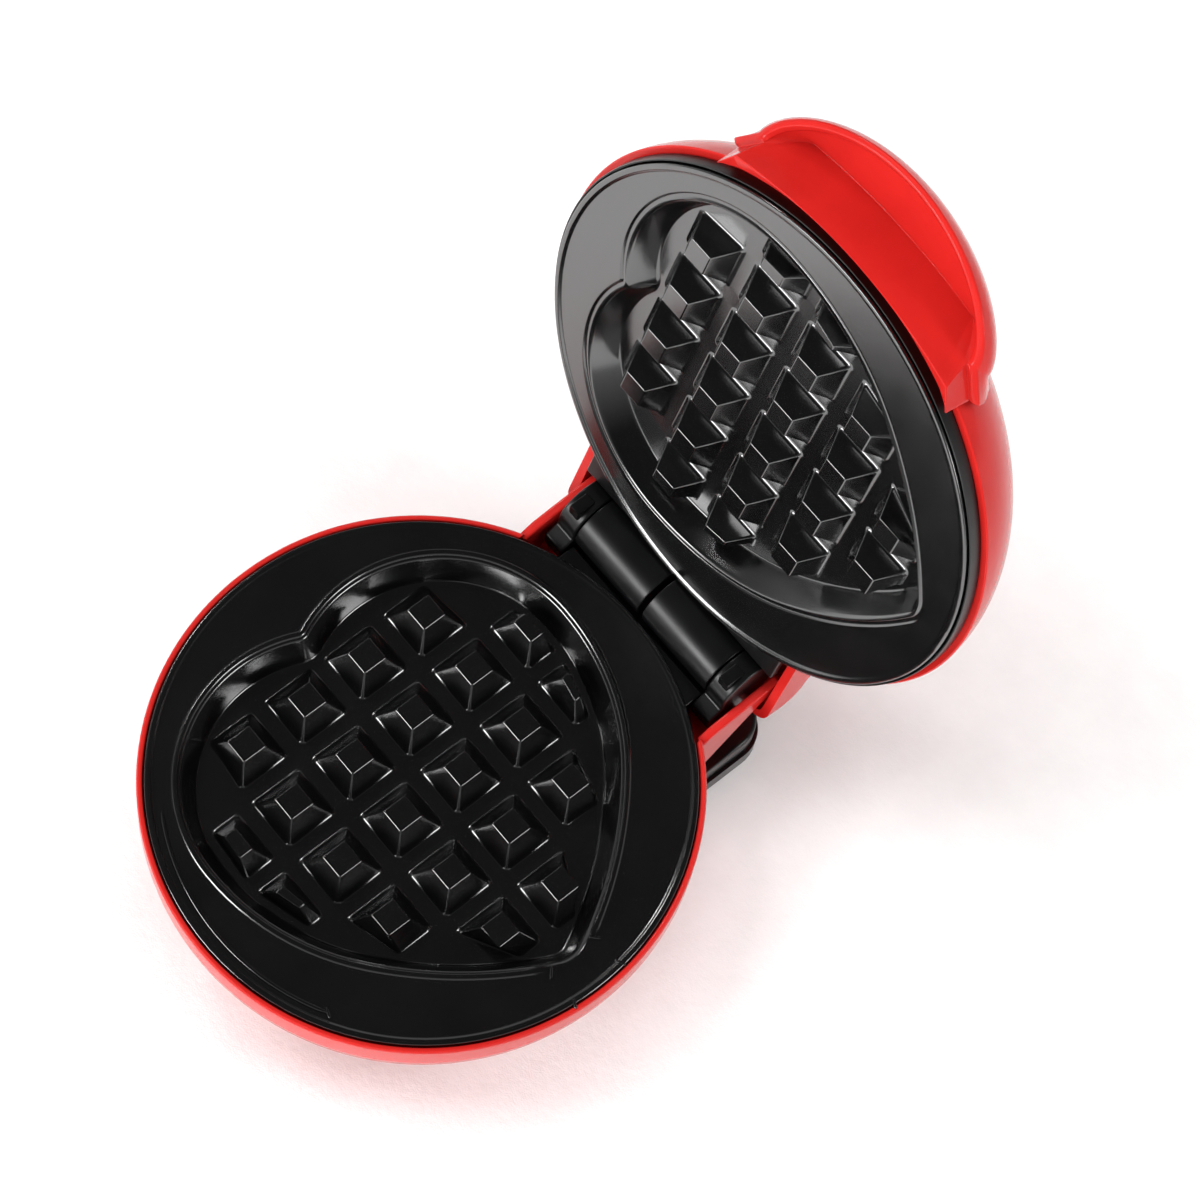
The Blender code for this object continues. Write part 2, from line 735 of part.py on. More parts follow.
def lid_element(sheath, lid):
    z = BEHIND_LID_PLATE + ELEMENT_DROP
    return tube("lid_element", element_points(ELEMENT_R, z, 0.0400), SHEATH_R, sheath, lid)


def lid_reflector(metal, lid):
    profile = [
        (0.0060, 0.0605),
        (0.0390, 0.0605),
        (0.0420, 0.0575),
        (0.0412, 0.0571),
        (0.0384, 0.0596),
        (0.0060, 0.0596),
    ]
    return add_object("lid_reflector", turned(profile, REFLECTOR_SIDES, wrap=True), metal, lid)


def indicator(clear, glow, lid):
    """The lens in the crown of the lid and the lamp under it."""
    crown = DOME_Z + DOME_H
    lens = ((0.0044, crown - 0.0050), (0.0044, crown - 0.0028), (LENS_R, crown - 0.0028))
    lens = (*lens, (LENS_R, crown - 0.0004), (LENS_R * 0.7, crown - 0.0001))
    add_object("indicator_lens", turned(lens, 24), clear, lid)
    lamp = ((0.0018, 0.0655), (0.0022, 0.0665), (0.0022, crown - 0.0065), (0.0012, crown - 0.0053))
    add_object("indicator_lamp", turned(lamp, 16), glow, lid)


# ---------------------------------------------------------------- lid handle

# Each edge of the handle is an arch over the front of the lid: half width, distance from the middle of
# the lid at its ends, how much further it reaches in the middle, height at its ends, rise, and power.
LIP = (0.0326, 0.0594, 0.0056, 0.0413, 0.0, 2.0)
CREASE = (0.0260, 0.0634, 0.0026, 0.0550, 0.0, 2.0)
BEAD = (0.0320, 0.0612, 0.0196, 0.0478, 0.0044, 1.35)
EDGE = (0.0346, 0.0570, 0.0194, 0.0530, 0.0062, 1.4)
HANDLE_TURNS = (0, 10, 20, 30, 40, 50, 59, 67, 74, 80, 85, 90)  # degrees, from the middle to one end
HANDLE_BACK = (0.0440, 0.0575)  # where its top runs into the dome, in the middle and at the ends
EAR_TIP = (0.0353, 0.0541, 0.0406)
EAR_TOP = (0.0353, 0.0496, 0.0556)
HANDLE_CLEAR = 0.0005  # between the handle and the dome it is fixed to


def arch(edge, turn):
    half, ends, reach, low, rise, power = edge
    bow = max(math.cos(turn), 0.0)
    return Vector((half * math.sin(turn), -(ends + reach * bow**power), low + rise * bow))


def on_dome(turn, rise):
    """A point just clear of the dome, in the direction turn, at an angle up from its widest level."""
    radius = (DOME_R + HANDLE_CLEAR) * math.cos(rise)
    z = DOME_Z + (DOME_H + HANDLE_CLEAR) * math.sin(rise)
    return Vector((radius * math.sin(turn), -radius * math.cos(turn), z))


def ear_point(place, turn):
    return Vector((math.copysign(place[0], turn), -place[1], place[2]))


def handle_section(turn, ear=False):
    """One loop round the handle: lip, finger pocket, bead, front, top, and back down the dome."""
    lip, bead, edge = (arch(rail, turn) for rail in (LIP, BEAD, EDGE))
    start = HANDLE_BACK[1] + (HANDLE_BACK[0] - HANDLE_BACK[1]) * max(math.cos(turn), 0.0)
    out = Vector((math.sin(turn), -math.cos(turn), 0.0))
    if ear:
        lip, edge, start = ear_point(EAR_TIP, turn), ear_point(EAR_TOP, turn), 0.0598
        bead = lip.lerp(edge, 0.45) + 0.0026 * Vector((lip.x, lip.y, 0.0)).normalized()
    depth = min(1.0, math.sqrt(max(math.cos(turn), 0.0) / 0.35))
    up = Vector((0.0, 0.0, 1.0))
    inner = bead - 0.0010 * out + 0.0008 * depth * up
    crease = lip.lerp(inner, 0.55).lerp(arch(CREASE, turn), depth)
    wall = lip.lerp(crease, 0.5) - 0.0006 * depth * out
    ceiling = crease.lerp(inner, 0.88) + 0.0009 * depth * up
    front = bead + 0.0014 * out + 0.0008 * up
    seat, rim = math.atan2(edge.x, -edge.y), math.atan2(lip.x, -lip.y)
    shares = (0.0, 0.2, 0.4, 0.6, 0.8, 1.0)
    rise, last = math.acos(start / (DOME_R + HANDLE_CLEAR)), 0.05
    back = [on_dome(seat + (rim - seat) * t, rise + (last - rise) * t) for t in shares]
    low = Vector((back[-1].x, back[-1].y, lip.z + 0.0010))
    hump = 0.0012 * (0.2 + 0.8 * abs(math.cos(turn)))
    return [
        lip,
        wall,
        crease,
        ceiling,
        inner,
        bead + 0.0002 * out,
        front,
        front.lerp(edge, 0.5) + 0.0008 * out,
        edge,
        edge.lerp(back[0], 0.12) + hump * up,
        edge.lerp(back[0], 0.55) + hump * up,
        back[0] + 0.0004 * up,
        *back[1:],
        low + 0.0002 * out,
    ]


def lid_handle(red, lid):
    """The peak in front of the lid, with a finger pocket under it and an ear at each end."""
    turns = [math.radians(a) for a in HANDLE_TURNS]
    middle = [handle_section(t) for t in [-t for t in turns[:0:-1]] + turns]
    left, right = (handle_section(t, ear=True) for t in (-turns[-1], turns[-1]))
    return add_object("lid_handle", skin([left, *middle, right]), red, lid)


# ---------------------------------------------------------------- assembly


def build():
    clear_scene()
    red = material("red_gloss", RED, 0.16)
    black = material("black_plastic", BLACK, 0.38)
    coating = material("non_stick_coating", (0.010, 0.010, 0.010), 0.30)
    rubber = material("rubber", (0.015, 0.015, 0.015), 0.85)
    steel = material("steel", (0.55, 0.55, 0.56), 0.30, 1.0)
    sheath = material("element_sheath", (0.22, 0.21, 0.20), 0.55, 1.0)
    bright = material("aluminised_steel", (0.72, 0.72, 0.73), 0.35, 1.0)
    cream = material("cream_plastic", (0.75, 0.70, 0.58), 0.50)
    white = material("glass_sleeving", (0.80, 0.79, 0.75), 0.80)
    clear = material("clear_plastic", (0.85, 0.30, 0.10), 0.10)
    glow = material("lamp_glass", (0.90, 0.60, 0.30), 0.15)

    base = add_frame("base", (0, 0, 0), (0.0, BASE_Y, 0.0), 0.0)
    lid = add_frame("lid", HINGE, HINGE + Vector((0.0, BASE_Y, 0.0)), -OPEN)

    base_housing(red, base)
    base_frame(black, base)
    base_plate(coating, base)
    base_element(sheath, base)
    base_reflector(bright, base)
    base_cover(black, base)
    thermostat(steel, base)
    thermal_fuse(white, base)
    terminal_block(cream, base)
    leads(white, base)
    cord_bushing(black, base)
    rubber_feet(rubber, base)
    cover_screws(steel, base)
    standoffs("base_standoff", 0.0212, UNDER_BASE_PLATE, steel, base)
    for side in (-1, 1):
        hinge_arm(side, black, base)
        hinge_pin(side, steel, base)
        hinge_barrel(side, black, lid)

    lid_housing(red, lid)
    lid_handle(red, lid)
    lid_frame(black, lid)
    lid_plate(coating, lid)
    lid_element(sheath, lid)
    lid_reflector(bright, lid)
    standoffs("lid_standoff", BEHIND_LID_PLATE, 0.0593, steel, lid)
    indicator(clear, glow, lid)


build()
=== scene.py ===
"""Looks of the mini waffle maker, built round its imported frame.

Metres. Pieces are drawn in the base frame, whose Y zero is the middle of the base plate. Pieces of the lid
are drawn as they lie with the lid shut, and then swing open about the hinge line."""

import json
import math

import bmesh
import bpy
import numpy as np
from mathutils import Matrix, Vector

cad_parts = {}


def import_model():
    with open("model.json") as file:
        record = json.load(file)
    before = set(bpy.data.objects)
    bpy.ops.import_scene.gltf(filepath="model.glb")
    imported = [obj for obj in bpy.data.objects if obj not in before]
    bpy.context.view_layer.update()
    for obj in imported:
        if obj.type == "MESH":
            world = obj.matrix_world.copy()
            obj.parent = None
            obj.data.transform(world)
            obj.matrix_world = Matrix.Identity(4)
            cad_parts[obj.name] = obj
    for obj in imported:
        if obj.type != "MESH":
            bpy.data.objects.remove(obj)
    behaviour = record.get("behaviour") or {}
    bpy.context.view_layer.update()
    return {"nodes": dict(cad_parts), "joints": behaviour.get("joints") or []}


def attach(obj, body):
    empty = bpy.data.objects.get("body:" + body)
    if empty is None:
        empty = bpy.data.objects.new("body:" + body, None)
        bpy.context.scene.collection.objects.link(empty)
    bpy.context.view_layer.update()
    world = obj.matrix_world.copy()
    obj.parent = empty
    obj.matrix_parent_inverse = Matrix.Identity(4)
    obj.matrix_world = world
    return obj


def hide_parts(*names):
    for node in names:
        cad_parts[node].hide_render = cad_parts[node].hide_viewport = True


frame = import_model()

# Driving dimensions, as in the CAD source
PITCH = 0.017
PLATE_R = 0.0613
BODY_R = 0.0630
WALL = 0.0022
GAP = 0.0003
FLANGE_Z = 0.0400
LID_FLANGE_Z = 0.0413
HINGE_Y = 0.0701
HINGE_Z = 0.0421
FLANGE_T = 0.0025
CAVITY = 0.0064
FLOOR_T = 0.0022
DRAFT = 0.0033
PYRAMID_H = 0.0056
PYRAMID_TOP = 0.0030
PYRAMID_FOOT = 0.0065
PYRAMID_CLEAR = 0.0022
BEAD_H = 0.0005
GRID_X = -1.79 * PITCH
ROWS = (4, 6, 6, 4, 2)
LOBE = (-0.0115, 0.0155, 0.0341)
CLEFT_R = 0.0030
SHOULDER_R = 0.058
SHOULDER_END = 50.0
SIDE_R = 0.100
TIP_R = 0.0075
RIM_BAND = 0.0065
BOWL_BULGE = 0.0042
BOWL_FOOT_R = 0.046
BOWL_FOOT_Z = 0.0088
LID_RIM_Z = 0.0450
DOME_R = 0.0636
DOME_H = 0.0380
DOME_Z = 0.0430
LENS_R = 0.0030
BARREL_R = 0.0078
BARREL_IN = 0.0007
BARREL_OUT = 0.0228
BORE_R = 0.00225
ARM_X = (0.0231, 0.0290)
BASE_EAR_X = 0.0324
LID_BOX_HALF = 0.0352
LID_BOX_Y = 0.0805
LID_BOX_TOP = 0.0548
COVER_BACK_Y = 0.0786
COVER_HALF = 0.0336
BOX_FLOOR_Z = 0.0157
BOX_SLOPE = 0.0344
COVER_LOW = 0.0024
COVER_BLOCK_Y = 0.0562
GLAND_Z = 0.0096
FINE = 168  # sides of a turned shell
CORNER_STEPS = 4  # spans of a rounded corner
EASE_FROM = math.radians(30.0)  # edges sharper than this are eased

# Rings round the plates
RING_IN = 0.0570
BASE_RING_OUT = 0.0599
BASE_RING_LOW = 0.0350
LID_RING_OUT = 0.0620
LID_RING_STEP_R = 0.0604
LID_RING_STEP_Z = 0.0463

HINGE = Vector((0.0, HINGE_Y, HINGE_Z))
JOINT = frame["joints"][0]
BASE_Y = JOINT["pos_m"][1] - HINGE_Y
OPEN = math.radians(JOINT["range_deg"][1])
TO_BASE = Matrix.Translation((0.0, BASE_Y, 0.0))
TO_LID = TO_BASE @ Matrix.Translation(HINGE) @ Matrix.Rotation(-OPEN, 4, "X") @ Matrix.Translation(-HINGE)
PLACE = {"base": TO_BASE, "lid": TO_LID}


# ---------------------------------------------------------------- materials


def node(tree, kind, **inputs):
    """A shader node whose inputs are linked to the sockets given, or set to the values given."""
    made = tree.nodes.new(kind)
    for name, value in inputs.items():
        socket = made.inputs[name.replace("_", " ")]
        if isinstance(value, bpy.types.NodeSocket):
            tree.links.new(value, socket)
        else:
            socket.default_value = value
    return made


def noise(tree, scale, detail=2.0):
    """A noise pattern with about this many features to the metre."""
    coords = tree.nodes.new("ShaderNodeTexCoord").outputs["Object"]
    return node(tree, "ShaderNodeTexNoise", Vector=coords, Scale=scale, Detail=detail).outputs["Fac"]


def spread(tree, value, low, high):
    """The middle of a noise pattern's range, stretched from low to high."""
    span = {"From_Min": 0.32, "From_Max": 0.68, "To_Min": low, "To_Max": high}
    return node(tree, "ShaderNodeMapRange", Value=value, **span).outputs["Result"]


def finish(name, tones, roughness, grain, **shader):
    """A moulded or metal surface, from two tones, a range of roughness and grain as (scale, depth) pairs."""
    made = bpy.data.materials.new(name)
    made.use_nodes = True
    tree = made.node_tree
    bsdf = tree.nodes["Principled BSDF"]
    for key, value in shader.items():
        bsdf.inputs[key.replace("_", " ")].default_value = value
    ramp = tree.nodes.new("ShaderNodeValToRGB")
    ramp.color_ramp.elements[0].color = (*tones[0], 1.0)
    ramp.color_ramp.elements[1].color = (*tones[1], 1.0)
    ramp.color_ramp.elements[0].position = 0.35
    ramp.color_ramp.elements[1].position = 0.65
    tree.links.new(noise(tree, 90.0, 4.0), ramp.inputs["Fac"])
    tree.links.new(ramp.outputs["Color"], bsdf.inputs["Base Color"])
    tree.links.new(spread(tree, noise(tree, 55.0, 3.0), *roughness), bsdf.inputs["Roughness"])
    normal = None
    for scale, depth in grain:
        bump = node(tree, "ShaderNodeBump", Height=noise(tree, scale), Distance=depth, Strength=1.0)
        if normal:
            tree.links.new(normal, bump.inputs["Normal"])
        normal = bump.outputs["Normal"]
    tree.links.new(normal, bsdf.inputs["Normal"])
    return made


RED = finish(
    "red_gloss_plastic",
    ((0.49, 0.0150, 0.0125), (0.53, 0.0170, 0.0140)),
    (0.16, 0.22),
    ((420.0, 0.000012),),
    Coat_Weight=0.05,
    Coat_Roughness=0.06,
    Specular_IOR_Level=0.16,
)
COATING = finish(
    "non_stick_coating",
    ((0.0016, 0.0016, 0.0017), (0.0024, 0.0024, 0.0025)),
    (0.15, 0.20),
    ((5200.0, 0.000003), (1400.0, 0.000003)),
    IOR=2.25,
)
BLACK = finish(
    "black_moulded_plastic",
    ((0.0020, 0.0020, 0.0021), (0.0032, 0.0032, 0.0034)),
    (0.28, 0.38),
    ((4200.0, 0.000008), (900.0, 0.000005)),
)
RUBBER = finish(
    "foot_rubber",
    ((0.012, 0.012, 0.012), (0.020, 0.020, 0.019)),
    (0.7, 0.85),
    ((3000.0, 0.00002),),
)
STEEL = finish(
    "zinc_steel",
    ((0.48, 0.48, 0.49), (0.62, 0.62, 0.62)),
    (0.24, 0.38),
    ((2600.0, 0.000006),),
    Metallic=1.0,
)
SHEATH = finish(
    "element_sheath",
    ((0.16, 0.15, 0.14), (0.27, 0.25, 0.23)),
    (0.45, 0.62),
    ((1800.0, 0.00001),),
    Metallic=1.0,
)
BRIGHT = finish(
    "aluminised_sheet",
    ((0.66, 0.66, 0.67), (0.76, 0.76, 0.77)),
    (0.28, 0.42),
    ((1300.0, 0.000008),),
    Metallic=1.0,
)
CREAM = finish(
    "cream_plastic",
    ((0.70, 0.65, 0.52), (0.78, 0.73, 0.60)),
    (0.42, 0.55),
    ((2500.0, 0.00001),),
)
SLEEVE = finish(
    "glass_sleeving",
    ((0.72, 0.71, 0.66), (0.84, 0.83, 0.79)),
    (0.7, 0.85),
    ((3600.0, 0.00004),),
)
LENS = finish(
    "amber_lens",
    ((0.85, 0.22, 0.05), (0.92, 0.30, 0.08)),
    (0.08, 0.14),
    ((700.0, 0.00001),),
    Coat_Weight=0.5,
    Coat_Roughness=0.05,
)
LAMP = finish(
    "lamp_glass",
    ((0.85, 0.55, 0.28), (0.95, 0.66, 0.36)),
    (0.10, 0.16),
    ((900.0, 0.000004),),
)


# ---------------------------------------------------------------- meshes


def bridge(bm, rings, following):
    """Faces from each ring of vertices to the one that follows it."""
    for ring, other in zip(rings, following):
        for i in range(len(ring)):
            bm.faces.new((ring[i - 1], ring[i], other[i], other[i - 1]))


def skin(loops, wrap=False):
    """A mesh through loops of points that match one to one, closed by end faces unless it wraps round."""
    bm = bmesh.new()
    rings = [[bm.verts.new(point) for point in loop] for loop in loops]
    bridge(bm, rings, rings[1:] + rings[:1] if wrap else rings[1:])
    if not wrap:
        bm.faces.new(rings[0])
        bm.faces.new(rings[-1])
    return bm


def circle(radius, z, count, centre=(0.0, 0.0)):
    turns = (2 * math.pi * i / count for i in range(count))
    return [Vector((centre[0] + radius * math.cos(a), centre[1] + radius * math.sin(a), z)) for a in turns]


def turned(profile, count=FINE, centre=(0.0, 0.0), wrap=False):
    """A body of revolution about a vertical line, from (radius, z) pairs."""
    return skin([circle(r, z, count, centre) for r, z in profile], wrap)


def rod(start, end, profile, count=64):
    """A turned rod from start to end, whose profile holds (share of the length, radius) pairs."""
    start, end = Vector(start), Vector(end)
    spin = (end - start).to_track_quat("Z", "Y")
    loops = []
    for share, radius in profile:
        middle = start.lerp(end, share)
        loops.append([middle + spin @ point for point in circle(radius, 0.0, count)])
    return skin(loops)


def slab(outline, low, high):
    """An outline of (x, y) points, from one height to another."""
    return skin([[Vector((x, y, z)) for x, y in outline] for z in (low, high)])


def side_plate(outline, left, right):
    """An outline of (y, z) points, from one x to another."""
    return skin([[Vector((x, y, z)) for y, z in outline] for x in (left, right)])


def box(low, high):
    corners = [(low[0], low[1]), (high[0], low[1]), (high[0], high[1]), (low[0], high[1])]
    return slab(corners, low[2], high[2])


def bend(first, corner, last, steps=CORNER_STEPS):
    """A curve from first to last that is drawn towards the corner."""
    shares = np.linspace(0, 1, steps + 1)
    return [(1 - t) ** 2 * first + 2 * t * (1 - t) * corner + t * t * last for t in shares]


def arc(centre, radius, start, end, steps):
    angles = np.radians(np.linspace(start, end, steps + 1))
    return [(centre[0] + radius * math.cos(a), centre[1] + radius * math.sin(a)) for a in angles]


def softened(profile, radius, steps):
    """A closed profile whose corners are rounded: each corner becomes a short curve."""
    points = [np.array(p, float) for p in profile]
    out = []
    for i, corner in enumerate(points):
        before, after = points[i - 1] - corner, points[(i + 1) % len(points)] - corner
        a, b = np.linalg.norm(before), np.linalg.norm(after)
        reach = min(radius, 0.45 * a, 0.45 * b)
        first, last = corner + before / a * reach, corner + after / b * reach
        out += [tuple(point) for point in bend(first, corner, last, steps)]
    return out


def joined(*meshes):
    """Several meshes in one."""
    first = meshes[0]
    for other in meshes[1:]:
        held = bpy.data.meshes.new("held")
        other.to_mesh(held)
        other.free()
        first.from_mesh(held)
        bpy.data.meshes.remove(held)
    return first


def helper(bm):
    """An object that only lives while modifiers work on it."""
    bmesh.ops.recalc_face_normals(bm, faces=bm.faces)
    mesh = bpy.data.meshes.new("helper")
    bm.to_mesh(mesh)
    bm.free()
    obj = bpy.data.objects.new("helper", mesh)
    bpy.context.scene.collection.objects.link(obj)
    return obj


def worked(bm, *steps):
    """bm after modifiers: each step is ("cut" or "join", bmesh) or ("bevel", width, segments)."""
    obj, others = helper(bm), []
    for step in steps:
        if step[0] == "bevel":
            made = obj.modifiers.new("bevel", "BEVEL")
            made.width, made.segments = step[1], step[2]
            made.limit_method, made.angle_limit = "ANGLE", EASE_FROM
            continue
        made = obj.modifiers.new(step[0], "BOOLEAN")
        made.operation = "DIFFERENCE" if step[0] == "cut" else "UNION"
        made.solver = "EXACT"
        made.object = helper(step[1])
        others.append(made.object)
    graph = bpy.context.evaluated_depsgraph_get()
    mesh = bpy.data.meshes.new_from_object(obj.evaluated_get(graph), depsgraph=graph)
    out = bmesh.new()
    out.from_mesh(mesh)
    for done in (obj, *others):
        bpy.data.objects.remove(done)
    bpy.data.meshes.remove(mesh)
    return out


def eased(bm, width, segments=3):
    """bm with its sharp edges rounded."""
    return worked(bm, ("bevel", width, segments))


def piece(name, bm, body, material, nodes=(), sharp=40.0):
    """Places a piece, makes it ride on its body and stand for CAD nodes."""
    bmesh.ops.recalc_face_normals(bm, faces=bm.faces)
    bmesh.ops.transform(bm, matrix=PLACE[body], verts=bm.verts)
    mesh = bpy.data.meshes.new(name)
    bm.to_mesh(mesh)
    bm.free()
    mesh.shade_smooth()
    mesh.set_sharp_from_angle(angle=math.radians(sharp))
    mesh.materials.append(material)
    obj = bpy.data.objects.new(name, mesh)
    bpy.context.scene.collection.objects.link(obj)
    weighted = obj.modifiers.new("weighted", "WEIGHTED_NORMAL")
    weighted.keep_sharp = True
    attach(obj, body)
    if nodes:
        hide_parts(*nodes)
    return obj


# ---------------------------------------------------------------- cooking plates


def heart_centres():
    """The centres of the arcs that follow the lobe: shoulder, side and tip."""
    x, y, radius = LOBE
    shoulder = Vector((x, y + radius - SHOULDER_R))
    end = math.radians(SHOULDER_END)
    normal = Vector((math.cos(end), math.sin(end)))
    side = shoulder + (SHOULDER_R - SIDE_R) * normal
    tip = Vector((side.x + math.sqrt((SIDE_R - TIP_R) ** 2 - side.y**2), 0.0))
    return shoulder, side, tip


def heart(offset=0.0, steps=(40, 12, 20, 12)):
    """The heart's outline, grown by offset, clockwise from the cleft, as (x, y) pairs."""
    shoulder, side, tip = heart_centres()
    lobe_r = LOBE[2] + offset
    spread_to = math.asin(LOBE[1] / (LOBE[2] + CLEFT_R))
    cleft = math.degrees(spread_to)
    cleft_x = LOBE[0] - (LOBE[2] + CLEFT_R) * math.cos(spread_to)
    side_end = math.degrees(math.atan2(tip.y - side.y, tip.x - side.x))
    half = [
        *arc((cleft_x, 0.0), CLEFT_R - offset, 0.0, cleft, 8),
        *arc(LOBE[:2], lobe_r, 180.0 + cleft, 90.0, steps[0])[1:],
        *arc(shoulder, SHOULDER_R + offset, 90.0, SHOULDER_END, steps[1])[1:],
        *arc(side, SIDE_R + offset, SHOULDER_END, side_end, steps[2])[1:],
        *arc(tip, TIP_R + offset, side_end, 0.0, steps[3])[1:],
    ]
    return half + [(x, -y) for x, y in half[-2:0:-1]]


def heart_limit(x):
    """How far from the middle line the floor of the heart reaches at x."""
    upper = [p for p in heart(-DRAFT, (11, 5, 6, 3)) if p[1] >= 0]
    first = min(range(len(upper)), key=lambda i: upper[i][0])
    xs, ys = zip(*upper[first:])
    return float(np.interp(x, xs, ys))


# Half width, clearance to the wall of the heart and least depth, at the foot and at the top of a pyramid
PYRAMID_ENDS = ((PYRAMID_FOOT, PYRAMID_CLEAR, 0.0034), (PYRAMID_TOP, PYRAMID_CLEAR + 0.001, 0.0016))


def pyramid_corners(column, row):
    """Foot and top corners of one pyramid, clipped where it would meet the wall of the heart."""
    cx = GRID_X + column * PITCH
    cy = (row - (ROWS[column] - 1) / 2) * PITCH
    side = math.copysign(1.0, cy)
    corners = []
    for half, clear, least in PYRAMID_ENDS:
        near = abs(cy) - half
        ring = []
        for x in (cx - half, cx + half):
            far = min(abs(cy) + half, heart_limit(x) - clear)
            ring.append(((x, min(near, far - least)), (x, far)))
        (a, b), (c, d) = ring
        found = [np.array((x, side * y)) for x, y in (a, c, d, b)]
        corners.append(found if side > 0 else found[::-1])
    return corners


def inset(corners, distance):
    """A convex outline moved in by a distance, or out where it is negative."""
    count, moved = len(corners), []
    for i in range(count):
        a, b, c = corners[i - 1], corners[i], corners[(i + 1) % count]
        u, v = (b - a) / np.linalg.norm(b - a), (c - b) / np.linalg.norm(c - b)
        normal_u, normal_v = np.array((-u[1], u[0])), np.array((-v[1], v[0]))
        along = (normal_u + normal_v) / (1 + float(normal_u @ normal_v))
        moved.append(b + distance * along)
    return moved


def rounded(corners, radius):
    """A convex outline with rounded corners."""
    out = []
    for i, corner in enumerate(corners):
        before, after = corners[i - 1] - corner, corners[(i + 1) % len(corners)] - corner
        a, b = np.linalg.norm(before), np.linalg.norm(after)
        first, last = corner + before / a * min(radius, 0.42 * a), corner + after / b * min(radius, 0.42 * b)
        out += bend(first, corner, last)
    return out


# Height, share of the way from foot to top, inset and corner radius of each loop round a pyramid
PYRAMID_LOOPS = (
    (0.0, 0.0, -0.00075, 0.0016),
    (0.00005, 0.0, -0.00045, 0.0014),
    (0.00018, 0.02, -0.00020, 0.0012),
    (0.00042, 0.07, -0.00005, 0.0010),
    (0.00075, 0.134, 0.0, 0.0008),
    (0.0030, 0.536, 0.0, 0.0006),
    (PYRAMID_H - 0.00030, 0.946, 0.0, 0.0004),
    (PYRAMID_H - 0.00013, 0.975, 0.00003, 0.0004),
    (PYRAMID_H - 0.00003, 0.992, 0.00010, 0.0003),
    (PYRAMID_H, 1.0, 0.00024, 0.0003),
)


def add_pyramid(bm, column, row):
    """Adds a pyramid with eased edges, and returns the loop round its foot."""
    foot, top = pyramid_corners(column, row)
    size = min(float(np.linalg.norm(top[i] - top[i - 1])) for i in range(4))
    rings = []
    for height, share, margin, radius in PYRAMID_LOOPS:
        outline = [a + (b - a) * share for a, b in zip(foot, top)]
        outline = inset(outline, margin if margin < 0 else min(margin, 0.2 * size))
        rings.append([bm.verts.new((x, y, height - CAVITY)) for x, y in rounded(outline, radius)])
    bridge(bm, rings, rings[1:])
    bm.faces.new(rings[-1])
    return rings[0]


SPOUT_FROM_X = 0.03
SPOUT_SIDES = (-0.0061, 0.0068)
SOFT_FROM_X = 0.02
SOFT_REACH = 0.0135


def tip_gap(points):
    """How much of the heart's bead there is at each point: none in the spout at its tip."""
    left, right = SPOUT_SIDES
    return [1.0 if x < SPOUT_FROM_X or not left < y < right else 0.0 for x, y in points]


def spout_share(points):
    """How soft the wall's upper edge is at each point: most at the tip, from where it fades both ways."""
    return [0.0 if x < SOFT_FROM_X else max(1.0 - (abs(y) / SOFT_REACH) ** 2, 0.0) for x, y in points]


# Distance in from the plate's edge and height, round the bead on its rim
RIM_BEAD = (
    (0.0, 0.0001),
    (0.0001, 0.00034),
    (0.00035, BEAD_H),
    (0.0011, BEAD_H),
    (0.00142, 0.00036),
    (0.00172, 0.00008),
    (0.0021, 0.0),
)
# Distance out from the heart's edge and share of the ridge's height, over the bead round the heart
HEART_BEAD = ((0.0024, 0.0), (0.0020, 0.10), (0.00175, 0.72), (0.0015, 1.0), (0.0009, 1.0), (0.0006, 0.75))
# Offset and height of the wall's upper edge, and the same at the tip, where it is softer
WALL_EDGE = (
    (0.00035, -0.00002, 0.00045, -0.00012),
    (0.0, -0.00012, 0.0, -0.0004),
    (-0.0003, -0.0004, -0.0005, -0.0009),
    (-0.0005, -0.0008, -0.0010, -0.0016),
)
# Offset and height down the wall and round the fillet at its foot
WALL_FOOT = (
    (-0.0018, -0.0032),
    (-DRAFT + 0.00025, -CAVITY + 0.00060),
    (-DRAFT - 0.00005, -CAVITY + 0.00020),
    (-DRAFT - 0.00035, -CAVITY + 0.00004),
    (-DRAFT - 0.0007, -CAVITY),
)


